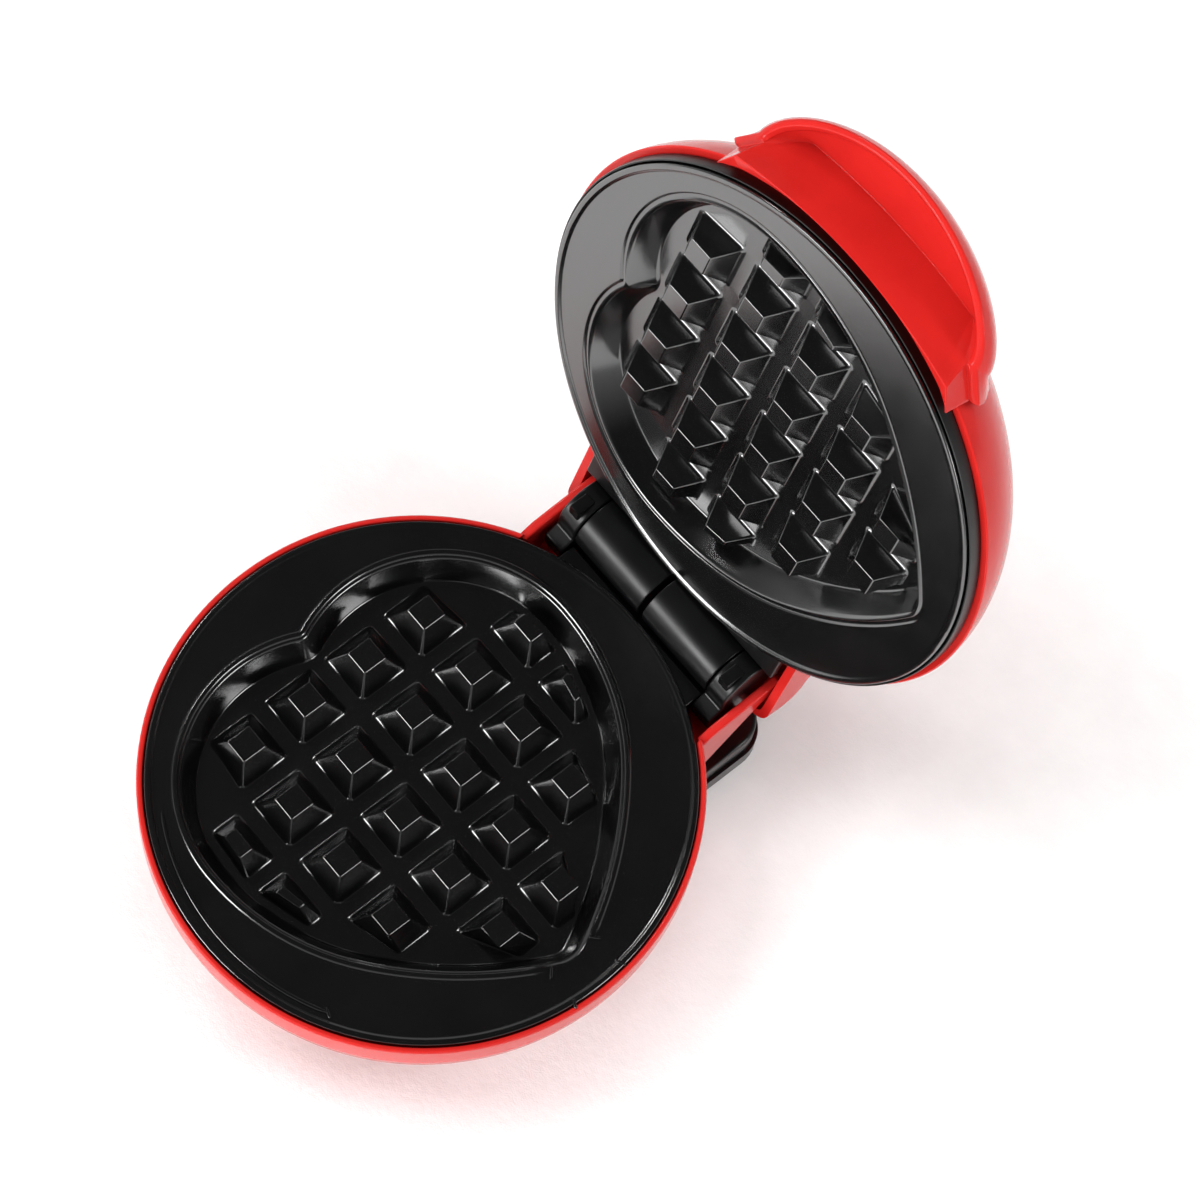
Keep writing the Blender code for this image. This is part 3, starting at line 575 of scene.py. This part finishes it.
def plate_mesh(ridge, spout):
    """A cooking plate facing up, its flange at height zero."""
    outline = heart()
    rim = [math.atan2(y, x) for x, y in outline]
    share = tip_gap(outline) if spout else [1.0] * len(outline)
    soft = spout_share(outline) if spout else [0.0] * len(outline)

    def ring(radius, z):
        return [Vector((radius * math.cos(a), radius * math.sin(a), z)) for a in rim]

    def heart_ring(offset, z, bead=0.0, tip=None):
        points = [Vector((x, y, z + bead * s)) for (x, y), s in zip(heart(offset), share)]
        if not tip:
            return points
        eased_points = [Vector((x, y, tip[1])) for x, y in heart(tip[0])]
        return [a.lerp(b, t) for a, b, t in zip(points, eased_points, soft)]

    loops = [
        heart_ring(FLOOR_T - DRAFT, -CAVITY - FLOOR_T),
        heart_ring(FLOOR_T, -FLANGE_T),
        ring(PLATE_R - 0.0003, -FLANGE_T),
        ring(PLATE_R, -FLANGE_T + 0.0003),
    ]
    loops += [ring(PLATE_R - inward, z) for inward, z in RIM_BEAD]
    loops += [heart_ring(offset, 0.0, part * ridge) for offset, part in HEART_BEAD]
    loops += [heart_ring(offset, z, tip=tip) for offset, z, *tip in WALL_EDGE]
    loops += [heart_ring(offset, z) for offset, z in WALL_FOOT]
    bm = bmesh.new()
    rings = [[bm.verts.new(point) for point in loop] for loop in loops]
    bridge(bm, rings, rings[1:])
    bm.faces.new(rings[0])
    bounds = [rings[-1]]
    for column, count in enumerate(ROWS):
        bounds += [add_pyramid(bm, column, row) for row in range(count)]
    edges = [bm.edges.get((loop[i - 1], loop[i])) for loop in bounds for i in range(len(loop))]
    bmesh.ops.triangle_fill(bm, edges=edges, use_beauty=True)
    return bm


RIB_SINK = 0.0004
RIB_R = 0.0578
RIB_ENDS = (240.0, 300.5)
RIB_HALF, RIB_H = 0.00055, 0.00065
STOP_HALF, STOP_H, STOP_REACH = 0.00045, 0.0006, 0.0013
STOP_SHARES = (0, 0.1, 0.25, 1, 1.75, 1.9, 2)
# Distance from the plate's middle, turn, and spin away from it of each stop
STOPS = (
    (RIB_R, RIB_ENDS[1], 35.0),
    (0.0603, 6.7, 20.0),
    (0.0611, 353.7, -20.0),
    (0.0524, 6.9, 35.0),
    (0.0527, 353.1, -35.0),
)


def strip(path, half, height):
    """A low rounded rib along a path of (x, y) points, at height zero."""
    points = [Vector((x, y, 0.0)) for x, y in path]
    flank = ((-1.0, -RIB_SINK), (-0.95, 0.0), (-0.86, 0.45 * height), (-0.64, 0.82 * height), (-0.3, height))
    section = [*flank, *((-u, z) for u, z in reversed(flank))]
    loops = []
    for i, point in enumerate(points):
        along = (points[min(i + 1, len(points) - 1)] - points[max(i - 1, 0)]).normalized()
        across = Vector((-along.y, along.x, 0.0))
        end = min(i, len(points) - 1 - i)
        size = (0.45, 0.8, 1.0)[min(end, 2)]
        wide = across * half * size
        loops.append([point + wide * u + Vector((0, 0, max(z * size, z))) for u, z in section])
    return skin(loops)


def stop(radius, turn, spin):
    """A short rib across the end of a bead."""
    a, s = math.radians(turn), math.radians(turn + spin)
    middle = Vector((radius * math.cos(a), radius * math.sin(a)))
    reach = Vector((math.cos(s), math.sin(s))) * STOP_REACH
    return strip([tuple(middle - reach + reach * t) for t in STOP_SHARES], STOP_HALF, STOP_H)


def plate_marks():
    """Ribs on the base plate's flange: one in front of the heart, and the stops at the ends of the beads."""
    front = strip(arc((0.0, 0.0), RIB_R, *RIB_ENDS, 59), RIB_HALF, RIB_H)
    return joined(front, *(stop(*place) for place in STOPS))


def facing_down(bm):
    """A plate turned over, to hang over the base plate with the lid shut."""
    down = Matrix.Translation((0.0, 0.0, LID_FLANGE_Z)) @ Matrix.Scale(-1.0, 4, (0, 0, 1))
    bmesh.ops.transform(bm, matrix=down, verts=bm.verts)
    return bm


def raised(bm, height):
    bmesh.ops.translate(bm, verts=bm.verts, vec=(0.0, 0.0, height))
    return bm


def plates():
    base_plate = raised(plate_mesh(BEAD_H, True), FLANGE_Z)
    lid_plate = facing_down(plate_mesh(-BEAD_H, False))
    piece("base_plate_coated", base_plate, "base", COATING, ["base_plate"])
    piece("base_plate_ribs", raised(plate_marks(), FLANGE_Z), "base", COATING)
    piece("lid_plate_coated", lid_plate, "lid", COATING, ["lid_plate"])


# ---------------------------------------------------------------- base


def bowl_profile(inward):
    """The bowl's wall from its foot up, moved in by a distance."""
    shoulder, foot = (BODY_R, FLANGE_Z - RIM_BAND), (BOWL_FOOT_R, BOWL_FOOT_Z)
    points = []
    for t in np.linspace(0, 1, 19):
        out = BOWL_BULGE * 4 * t * (1 - t)
        r = foot[0] + (shoulder[0] - foot[0]) * t + out * 0.85
        points.append((r - inward, foot[1] + (shoulder[1] - foot[1]) * t - out * 0.5))
    return points


HOOK_AT, HOOK_R = (0.0756, 0.0405), 0.0024


def hinge_box():
    """One cheek of the hinge box from the side, with the hook above the pin."""
    return [
        (BOX_START_Y, BOX_FLOOR_Z),
        (BOX_FLOOR_Z + BOX_SLOPE, BOX_FLOOR_Z),
        (0.0700, 0.0700 - BOX_SLOPE),
        (0.0742, 0.0380),
        *arc(HOOK_AT, HOOK_R, -60, 90, 10),
        (0.0575, 0.0408),
        (0.0530, 0.0385),
        (BOX_START_Y, 0.0385),
    ]


# Distance in and down from the bowl's upper edge, over its rounded rim
BOWL_RIM = (
    (0.0, 0.0008),
    (0.0001, 0.0003),
    (0.0004, 0.0),
    (0.0009, 0.0),
    (0.0012, 0.0002),
    (0.0014, 0.0006),
    (0.0014, 0.0030),
)
BOX_START_Y = 0.0300
NOTCH_Z = 0.0336


def base_shell():
    """The bowl with its rounded rim, and the box behind it whose cheeks run on as hooks."""
    top = FLANGE_Z + 0.0002
    outside = bowl_profile(0.0)
    inside = bowl_profile(WALL)
    rim = [(BODY_R - inward, top - down) for inward, down in BOWL_RIM]
    bowl = turned([*outside, *rim, *inside[::-1]], wrap=True)
    half, low = BASE_EAR_X - WALL / 2, BOX_FLOOR_Z + WALL
    bay = box((-half, BOX_START_Y, low), (half, 0.1, 0.06))
    bowl = worked(bowl, ("cut", bay))
    within = BODY_R - 0.0007
    room = [(BOWL_FOOT_R - WALL, 0.0), *bowl_profile(0.0012), (within, top - 0.002), (within, 0.06)]
    cheeks = []
    for side in (-1, 1):
        left, right = sorted((side * (BASE_EAR_X - WALL), side * BASE_EAR_X))
        cheek = eased(side_plate(hinge_box(), left, right), 0.0006)
        cheeks.append(worked(cheek, ("cut", turned(room))))
    inner = BOX_SLOPE - WALL * math.sqrt(2)
    back = [
        (BOX_START_Y, BOX_FLOOR_Z),
        (BOX_FLOOR_Z + BOX_SLOPE, BOX_FLOOR_Z),
        (NOTCH_Z + BOX_SLOPE, NOTCH_Z),
        (NOTCH_Z + inner, NOTCH_Z),
        (low + inner, low),
        (BOX_START_Y, low),
    ]
    half = BASE_EAR_X - 0.0002
    under = worked(eased(side_plate(back, -half, half), 0.0005), ("cut", turned(room)))
    return joined(bowl, *cheeks, under)


def frame_ring():
    """The black ring round the base plate and the deck in front of the hinge."""
    top = FLANGE_Z - FLANGE_T - GAP
    corners = [(RING_IN, BASE_RING_LOW), (BASE_RING_OUT, BASE_RING_LOW), (BASE_RING_OUT, top), (RING_IN, top)]
    ring = turned(softened(corners, 0.0003, 3), wrap=True)
    half = ARM_X[0] - GAP
    deck = box((-half, 0.0540, 0.0340), (half, 0.0622, FLANGE_Z - 0.0016))
    seat = turned(((PLATE_R + GAP, top), (PLATE_R + GAP, 0.05)))
    ledge = box((-half, 0.0600, 0.0330), (half, 0.0640, 0.0345))
    tray = box((-half, 0.0620, 0.0337), (half, 0.0685, 0.0341))
    return joined(ring, worked(eased(deck, 0.0005), ("cut", seat)), eased(ledge, 0.0003), eased(tray, 0.0001))


def hinge_arm(side):
    """A boss that holds one hinge pin, with the catch that was snapped over it."""
    low, high = sorted((side * ARM_X[0], side * ARM_X[1]))
    outline = [
        (0.0588, 0.0340),
        (0.0655, 0.0340),
        *arc((HINGE_Y, HINGE_Z), BARREL_R, -110, 180, 40),
        (0.0623, 0.0406),
        (0.0588, FLANGE_Z - 0.0016),
    ]
    boss = eased(side_plate(outline, low, high), 0.0006)
    middle = (low + high) / 2
    corners = ((-0.0016, -0.0062, 0.0040), (0.0016, -0.0010, 0.0080))
    catch = box(*((middle + x, HINGE_Y + y, HINGE_Z + z) for x, y, z in corners))
    return joined(boss, eased(catch, 0.0004, 2))


def cover_outline(inward):
    """The stand seen from above: round in front, square with round corners behind the hinge."""
    half, back, corner = COVER_HALF - inward, COVER_BACK_Y - inward, 0.009 - inward
    round_r = BOWL_FOOT_R - 0.001 - inward
    start = math.degrees(math.asin(half / round_r))
    right = [
        *arc((0, 0), round_r, -90, 90 - start, 40),
        *arc((half - corner, back - corner), corner, 0, 90, 16),
    ]
    return right + [(-x, y) for x, y in right[:0:-1]]


def cover_back_outline(inward):
    """The raised block at the back of the stand, seen from above."""
    half, back = (size - 0.0008 - inward for size in (COVER_HALF, COVER_BACK_Y))
    corner = 0.0085 - inward
    right = [(half, COVER_BLOCK_Y + inward), *arc((half - corner, back - corner), corner, 0, 90, 16)]
    return right + [(-x, y) for x, y in reversed(right)]


# Distance in and height of each loop of the stand's plate above its lower face, and of the block's loops
# below its top
STAND_EDGE = ((0.0012, 0.0), (0.0006, 0.0001), (0.0002, 0.0004), (0.0, 0.0010))
BLOCK_EDGE = ((0.0, 0.0010), (0.0003, 0.0004), (0.0012, 0.0))
VENT_PITCH, VENT_HALF = 0.005, 0.001
VENT_ENDS = (0.012, 0.030)
FEET = {"front": (0.0270, -0.0300), "rear": (0.0240, 0.0680)}
COVER_SCREWS = {"front": (0.0, -0.0330), "left": (-0.0340, 0.0060), "right": (0.0340, 0.0060)}


def screw_hole(place):
    return turned(((0.0033, 0.0), (0.0033, 0.0034), (0.0018, 0.0034), (0.0018, 0.0060)), 32, place)


def stand():
    """The black stand, with rounded edges, pockets for the feet, screw holes and a row of vents."""
    top = BOWL_FOOT_Z - GAP - COVER_LOW
    loops = []
    for inward, z in (*STAND_EDGE, (0.0, top)):
        loops.append([Vector((x, y, COVER_LOW + z)) for x, y in cover_outline(inward)])
    block = [[Vector((x, y, 0.0060)) for x, y in cover_back_outline(0.0)]]
    for inward, down in BLOCK_EDGE:
        block.append([Vector((x, y, BOX_FLOOR_Z - GAP - down)) for x, y in cover_back_outline(inward)])
    steps = [("join", skin(block))]
    for x, y in FEET.values():
        for side in (-1, 1):
            steps.append(("cut", turned(((0.0056, 0.0), (0.0056, 0.0033)), 40, (side * x, y))))
    steps += [("cut", screw_hole(place)) for place in COVER_SCREWS.values()]
    for i in range(-3, 4):
        left, right = i * VENT_PITCH - VENT_HALF, i * VENT_PITCH + VENT_HALF
        steps.append(("cut", eased(box((left, VENT_ENDS[0], 0.0), (right, VENT_ENDS[1], 0.0040)), 0.0006)))
    start, end = (0, COVER_BACK_Y - 0.006, GLAND_Z), (0, COVER_BACK_Y + 0.004, GLAND_Z)
    steps.append(("cut", rod(start, end, ((0, 0.0035), (1, 0.0035)))))
    return worked(skin(loops), *steps)


def foot(x, y):
    hollow = ((0.0012, 0.0004), (0.0030, 0.0003), (0.0036, 0.0))
    tread = ((0.0044, 0.0), (0.0049, 0.0002), (0.0052, 0.0007), (0.0052, 0.0030))
    return turned((*hollow, *tread), 48, (x, y))


def cover_screw(place):
    """A screw with a rounded head, seen from below, and a cross recess."""
    head = ((0.0018, 0.0012), (0.0024, 0.0012), (0.0028, 0.0014), (0.0030, 0.0018), (0.0030, 0.0031))
    shank = ((0.0015, 0.0031), (0.0015, 0.0110))
    x, y = place
    halves = ((0.0017, 0.0004), (0.0004, 0.0017))
    slots = [box((x - a, y - b, 0.0), (x + a, y + b, 0.0020)) for a, b in halves]
    return worked(turned((*head, *shank), 40, place), *(("cut", slot) for slot in slots))


def bushing():
    """The gland that the mains lead would pass through."""
    start, end = (0, COVER_BACK_Y - 0.0040, GLAND_Z), (0, COVER_BACK_Y + 0.0030, GLAND_Z)
    inside = ((0, 0.0032), (0.62, 0.0032))
    collar = ((0.62, 0.0044), (0.65, 0.0046), (0.88, 0.0046), (0.95, 0.0043), (1, 0.0037))
    way = rod((0, start[1] - 0.002, GLAND_Z), (0, end[1] + 0.002, GLAND_Z), ((0, 0.0022), (1, 0.0022)), 48)
    return worked(rod(start, end, (*inside, *collar)), ("cut", way))


def base_pieces():
    piece("base_shell", base_shell(), "base", RED, ["base_housing"])
    piece("base_ring", frame_ring(), "base", BLACK, ["base_frame"])
    piece("base_stand", stand(), "base", BLACK, ["base_cover"])
    piece("cord_gland", bushing(), "base", BLACK, ["cord_bushing"])
    for side, word in ((-1, "left"), (1, "right")):
        piece(f"hinge_boss_{word}", hinge_arm(side), "base", BLACK, [f"hinge_arm_{word}"])
        for end, (x, y) in FEET.items():
            node_name = f"foot_{end}_{word}"
            piece(f"rubber_{node_name}", foot(side * x, y), "base", RUBBER, [node_name])
    for word, place in COVER_SCREWS.items():
        screw = cover_screw(place)
        piece(f"stand_screw_{word}", screw, "base", STEEL, [f"cover_screw_{word}"], 30.0)


# ---------------------------------------------------------------- lid


def dome_profile(inward):
    """A quarter of an ellipse, from the dome's rim to the hole for the light."""
    radius, height = DOME_R - inward, DOME_H - inward
    start = math.asin((LID_RIM_Z - DOME_Z) / height)
    end = math.acos((LENS_R + GAP) / radius)
    return [(radius * math.cos(t), DOME_Z + height * math.sin(t)) for t in np.linspace(start, end, 41)]


def lid_box(inward, low):
    """The cover over the hinge, from side to side, with its upright corners rounded."""
    half, corner = LID_BOX_HALF - inward, 0.0040 - inward
    loops = []
    turns = [*np.linspace(0, 90, 9), *np.linspace(90, 180, 9)]
    for i, turn in enumerate(np.radians(turns)):
        side = -1 if i < 9 else 1
        x = side * (half - corner + corner * abs(math.cos(turn)))
        back = LID_BOX_Y - inward - corner * (1 - math.sin(turn))
        top = LID_BOX_TOP - inward
        ease = 0.0010 * (1 - math.sin(turn)) ** 2
        outline = [
            (0.0380, low),
            (0.0380, top + 0.0058 - ease),
            (0.0560, top + 0.0040 - ease),
            (0.0680, top + 0.0008 - ease),
            *arc((back - 0.0065, top - 0.0065 - ease), 0.0065, 85, 0, 12),
            (back, low),
        ]
        loops.append([Vector((x, y, z)) for y, z in outline])
    return skin(loops)


def lid_shell():
    """The dome with its rounded rim, and the cover over the hinge that opens into it."""
    inside, outside = dome_profile(WALL), dome_profile(0.0)
    near, far = inside[0][0], outside[0][0]
    rim = [(near, LID_RIM_Z + 0.0004), (near + 0.0003, LID_RIM_Z)]
    rim += [(far - 0.0003, LID_RIM_Z), (far, LID_RIM_Z + 0.0003)]
    dome = turned([*inside[::-1], *rim, *outside[1:]], wrap=True)
    dome = worked(dome, ("cut", lid_box(WALL, 0.0100)))
    cover = worked(lid_box(0.0, LID_RIM_Z), ("cut", lid_box(WALL, 0.0100)))
    dome_room = turned([(near, LID_RIM_Z - 0.002), *inside, (LENS_R + GAP, 0.0850)])
    return joined(dome, worked(cover, ("cut", dome_room)))


def lid_ring():
    """The black ring round the lid's plate, and the flap behind it that closes the hinge's cover."""
    seat = LID_FLANGE_Z + FLANGE_T + GAP
    low, high = LID_FLANGE_Z + 0.0003, LID_RIM_Z - GAP
    corners = [
        (PLATE_R + GAP, low),
        (LID_RING_OUT, low),
        (LID_RING_OUT, high),
        (LID_RING_STEP_R, high),
        (LID_RING_STEP_R, LID_RING_STEP_Z),
        (RING_IN, LID_RING_STEP_Z),
        (RING_IN, seat),
        (PLATE_R + GAP, seat),
    ]
    ring = turned(softened(corners, 0.0002, 2), wrap=True)
    flap = eased(box((-0.0320, 0.0500, LID_FLANGE_Z + 0.0012), (0.0320, 0.0618, high)), 0.0004)
    seat_room = turned(((PLATE_R + GAP, 0.030), (PLATE_R + GAP, seat)))
    middle = turned(((RING_IN, 0.0300), (RING_IN, 0.0600)))
    return joined(ring, worked(flap, ("cut", seat_room), ("cut", middle)))


def barrel(side):
    """One half of the hinge barrel: a smooth tube with a bore for its pin, and its foot in the lid."""
    low, high = sorted((side * BARREL_IN, side * BARREL_OUT))
    outline = [
        (0.0590, 0.0469),
        *arc((HINGE_Y, HINGE_Z), BARREL_R, -216, 90, 72),
        (0.0590, 0.0500),
    ]
    start, end = (Vector((side * (BARREL_OUT + x), HINGE_Y, HINGE_Z)) for x in (-0.0090, 0.0020))
    bore = rod(start, end, ((0, BORE_R), (1, BORE_R)))
    return worked(eased(side_plate(outline, low, high), 0.0005), ("cut", bore))


def lens():
    """The light in the top of the dome: a flange inside it, and a lightly domed top."""
    profile = (
        (0.0044, 0.0050),
        (0.0044, 0.0028),
        (LENS_R, 0.0028),
        (LENS_R, 0.0008),
        (LENS_R - 0.0001, 0.0004),
        (LENS_R - 0.0004, 0.0002),
        (0.0012, 0.00003),
        (0.0004, 0.0),
    )
    return turned([(radius, DOME_Z + DOME_H - down) for radius, down in profile], 48)


# Arches of the handle: half width, distance from the middle at their ends, further reach in the middle,
# height at their ends, rise and power
LIP = (0.0326, 0.0594, 0.0056, 0.0413, 0.0, 2.0)
CREASE = (0.0260, 0.0634, 0.0026, 0.0550, 0.0, 2.0)
BEAD = (0.0320, 0.0612, 0.0196, 0.0478, 0.0044, 1.35)
EDGE = (0.0346, 0.0570, 0.0194, 0.0530, 0.0062, 1.4)
HANDLE_BACK = (0.0440, 0.0575)  # where it meets the dome, from the middle out to its ends
HANDLE_CLEAR = 0.0005
EAR_TIP = (0.0353, 0.0541, 0.0406)
EAR_TOP = (0.0353, 0.0496, 0.0556)
EAR_BACK = 0.0598
# How much of an ear each of its sections is, and how much each is shrunk
EARS = ((0.2, 0.0), (0.4, 0.0), (0.6, 0.0), (0.8, 0.0), (0.93, 0.0), (0.98, 0.00012), (1.0, 0.0004))


def arch(rail, turn):
    half, ends, reach, low, rise, power = rail
    bow = max(math.cos(turn), 0.0)
    return Vector((half * math.sin(turn), -(ends + reach * bow**power), low + rise * bow))


def on_dome(turn, rise):
    """A point just off the dome."""
    radius = (DOME_R + HANDLE_CLEAR) * math.cos(rise)
    z = DOME_Z + (DOME_H + HANDLE_CLEAR) * math.sin(rise)
    return Vector((radius * math.sin(turn), -radius * math.cos(turn), z))


def ear_point(place, turn):
    """A point of the ear on the side that the turn leads to."""
    return Vector((math.copysign(place[0], turn), -place[1], place[2]))


def curved(corners, radii):
    """A closed loop whose corners are rounded, each with its own radius."""
    loop = []
    for i, corner in enumerate(corners):
        before, after = corners[i - 1] - corner, corners[(i + 1) % len(corners)] - corner
        first = corner + before * min(radii[i] / before.length, 0.48)
        last = corner + after * min(radii[i] / after.length, 0.48)
        loop += bend(first, corner, last)
    return loop


# Radius at each corner of the handle's section, from the lip round to the dome
SHARP, CRISP, BROAD = 0.0003, 0.0005, 0.0060
POCKET_RADII = (CRISP, BROAD, SHARP, BROAD, SHARP)
HANDLE_RADII = (*POCKET_RADII, CRISP, CRISP, *[BROAD] * 4, CRISP, *[BROAD] * 5, CRISP)


def handle_section(turn, ear=0.0, shrink=0.0):
    """One loop round the handle: lip, finger pocket, bead, front, top, and back down the dome."""
    lip, bead, edge = (arch(rail, turn) for rail in (LIP, BEAD, EDGE))
    start = HANDLE_BACK[1] + (HANDLE_BACK[0] - HANDLE_BACK[1]) * max(math.cos(turn), 0.0)
    out = Vector((math.sin(turn), -math.cos(turn), 0.0))
    if ear:
        tip, top = ear_point(EAR_TIP, turn), ear_point(EAR_TOP, turn)
        middle = tip.lerp(top, 0.45) + 0.0026 * Vector((tip.x, tip.y, 0.0)).normalized()
        lip, edge, bead = lip.lerp(tip, ear), edge.lerp(top, ear), bead.lerp(middle, ear)
        start += (EAR_BACK - start) * ear
    depth = min(1.0, math.sqrt(max(math.cos(turn), 0.0) / 0.35))
    up = Vector((0.0, 0.0, 1.0))
    inner = bead - 0.0010 * out + 0.0008 * depth * up
    crease = lip.lerp(inner, 0.55).lerp(arch(CREASE, turn), depth)
    wall = lip.lerp(crease, 0.5) - 0.0006 * depth * out
    ceiling = crease.lerp(inner, 0.88) + 0.0009 * depth * up
    front = bead + 0.0014 * out + 0.0008 * up
    seat, rim = math.atan2(edge.x, -edge.y), math.atan2(lip.x, -lip.y)
    rise, low_rise = math.acos(start / (DOME_R + HANDLE_CLEAR)), 0.05
    back = [on_dome(seat + (rim - seat) * t, rise + (low_rise - rise) * t) for t in np.linspace(0.0, 1.0, 6)]
    low = Vector((back[-1].x, back[-1].y, lip.z + 0.0010))
    hump = 0.0012 * (0.2 + 0.8 * abs(math.cos(turn)))
    corners = [
        lip,
        wall,
        crease,
        ceiling,
        inner,
        bead + 0.0002 * out,
        front,
        front.lerp(edge, 0.5) + 0.0008 * out,
        edge,
        edge.lerp(back[0], 0.12) + hump * up,
        edge.lerp(back[0], 0.55) + hump * up,
        back[0] + 0.0004 * up,
        *back[1:],
        low + 0.0002 * out,
    ]
    if shrink:
        centre = sum(corners, Vector()) / len(corners)
        corners = [corner.lerp(centre, min(shrink / (corner - centre).length, 0.5)) for corner in corners]
    return curved(corners, HANDLE_RADII)


def handle():
    """The peak in front of the lid, with a finger pocket under it and an ear at each end."""
    turns = np.radians([*np.linspace(-90, -66, 17), *np.linspace(-64, 64, 45), *np.linspace(66, 90, 17)])
    left = [handle_section(turns[0], *ear) for ear in reversed(EARS)]
    right = [handle_section(turns[-1], *ear) for ear in EARS]
    return skin([*left, *(handle_section(turn) for turn in turns), *right])


def lid_pieces():
    piece("lid_shell", lid_shell(), "lid", RED, ["lid_housing"])
    piece("lid_grip", handle(), "lid", RED, ["lid_handle"], 50.0)
    piece("lid_ring", lid_ring(), "lid", BLACK, ["lid_frame"])
    piece("ready_light", lens(), "lid", LENS, ["indicator_lens"])
    for side, word in ((-1, "left"), (1, "right")):
        piece(f"barrel_{word}", barrel(side), "lid", BLACK, [f"hinge_barrel_{word}"])


def inner_finishes():
    """Finishes for the CAD nodes that are shown as they are."""
    finishes = {
        "base_element": SHEATH,
        "lid_element": SHEATH,
        "base_reflector": BRIGHT,
        "lid_reflector": BRIGHT,
        "thermostat": STEEL,
        "thermal_fuse": SLEEVE,
        "terminal_block": CREAM,
        "lead_left": SLEEVE,
        "lead_right": SLEEVE,
        "indicator_lamp": LAMP,
    }
    for name, obj in frame["nodes"].items():
        chosen = finishes.get(name, STEEL)
        obj.data.materials.clear()
        obj.data.materials.append(chosen)


# ---------------------------------------------------------------- room, light and camera

BOARD = finish(
    "pale_board",
    ((0.92, 0.92, 0.917), (0.95, 0.95, 0.947)),
    (0.6, 0.75),
    ((320.0, 0.00012), (2400.0, 0.00004)),
)
LOW_GLOW = 0.45  # the room's light at the horizon
HIGH_GLOW = 0.03  # and overhead
GLOW_END = 0.7
AIM = Vector((0.0, 0.0, 0.05))
CAMERA_AT = Vector((0.22244, -0.22325 + BASE_Y, 0.9230))
CAMERA_TURNS = (39.385, 67.61, -11.768)  # azimuth, elevation and roll
CAMERA_LENS = 127.25433


def floor():
    bm = slab([(-3, -3), (3, -3), (3, 3), (-3, 3)], -0.02, 0.0)
    mesh = bpy.data.meshes.new("floor")
    bm.to_mesh(mesh)
    bm.free()
    obj = bpy.data.objects.new("floor", mesh)
    bpy.context.scene.collection.objects.link(obj)
    mesh.materials.append(BOARD)


def lamp(name, place, width, height, power, mirrored):
    """A soft box aimed at the object. One that isn't mirrored leaves no highlight on glossy surfaces."""
    data = bpy.data.lights.new(name, "AREA")
    data.shape, data.size, data.size_y = "RECTANGLE", width, height
    data.energy = power
    obj = bpy.data.objects.new(name, data)
    obj.location = place
    obj.rotation_euler = (AIM - Vector(place)).to_track_quat("-Z", "Y").to_euler()
    obj.visible_glossy = mirrored
    bpy.context.scene.collection.objects.link(obj)


def world():
    """A dim studio, lighter towards the horizon: most of the light comes from the lamps."""
    made = bpy.data.worlds.new("studio")
    bpy.context.scene.world = made
    made.use_nodes = True
    tree = made.node_tree
    direction = tree.nodes.new("ShaderNodeTexCoord").outputs["Generated"]
    up = node(tree, "ShaderNodeSeparateXYZ", Vector=direction).outputs["Z"]
    span = {"From_Min": 0.0, "From_Max": GLOW_END, "To_Min": LOW_GLOW, "To_Max": HIGH_GLOW}
    fade = node(tree, "ShaderNodeMapRange", Value=up, **span)
    background = tree.nodes["Background"]
    background.inputs["Color"].default_value = (1.0, 1.0, 1.0, 1.0)
    tree.links.new(fade.outputs["Result"], background.inputs["Strength"])


def camera():
    data = bpy.data.cameras.new("camera")
    data.sensor_width, data.lens = 36.0, CAMERA_LENS
    data.clip_start, data.clip_end = 0.01, 20.0
    obj = bpy.data.objects.new("camera", data)
    azimuth, elevation, roll = (math.radians(a) for a in CAMERA_TURNS)
    flat = math.cos(elevation)
    back = Vector((math.sin(azimuth) * flat, -math.cos(azimuth) * flat, math.sin(elevation)))
    turn = (-back).to_track_quat("-Z", "Y").to_matrix().to_4x4() @ Matrix.Rotation(-roll, 4, "Z")
    obj.matrix_world = Matrix.Translation(CAMERA_AT) @ turn
    bpy.context.scene.collection.objects.link(obj)
    bpy.context.scene.camera = obj


camera()
floor()
world()
lamp("key", (-0.85, -0.60, 1.60), 0.9, 0.9, 19.0, False)
lamp("top", (-0.20, 0.20, 1.90), 0.9, 0.9, 9.0, False)
lamp("fill_right", (0.95, 0.90, 1.50), 0.9, 0.9, 16.0, False)
lamp("fill_front", (0.70, -1.60, 0.60), 0.9, 0.9, 22.0, False)
lamp("front", (-0.38, -1.47, 0.46), 0.7, 0.4, 11.0, True)
lamp("right", (1.40, 0.45, 0.62), 0.5, 0.4, 5.0, True)
lamp("edge", (-1.30, 0.10, 1.30), 0.2, 0.2, 4.0, True)
bpy.context.scene.view_settings.view_transform = "Standard"

plates()
base_pieces()
lid_pieces()
inner_finishes()
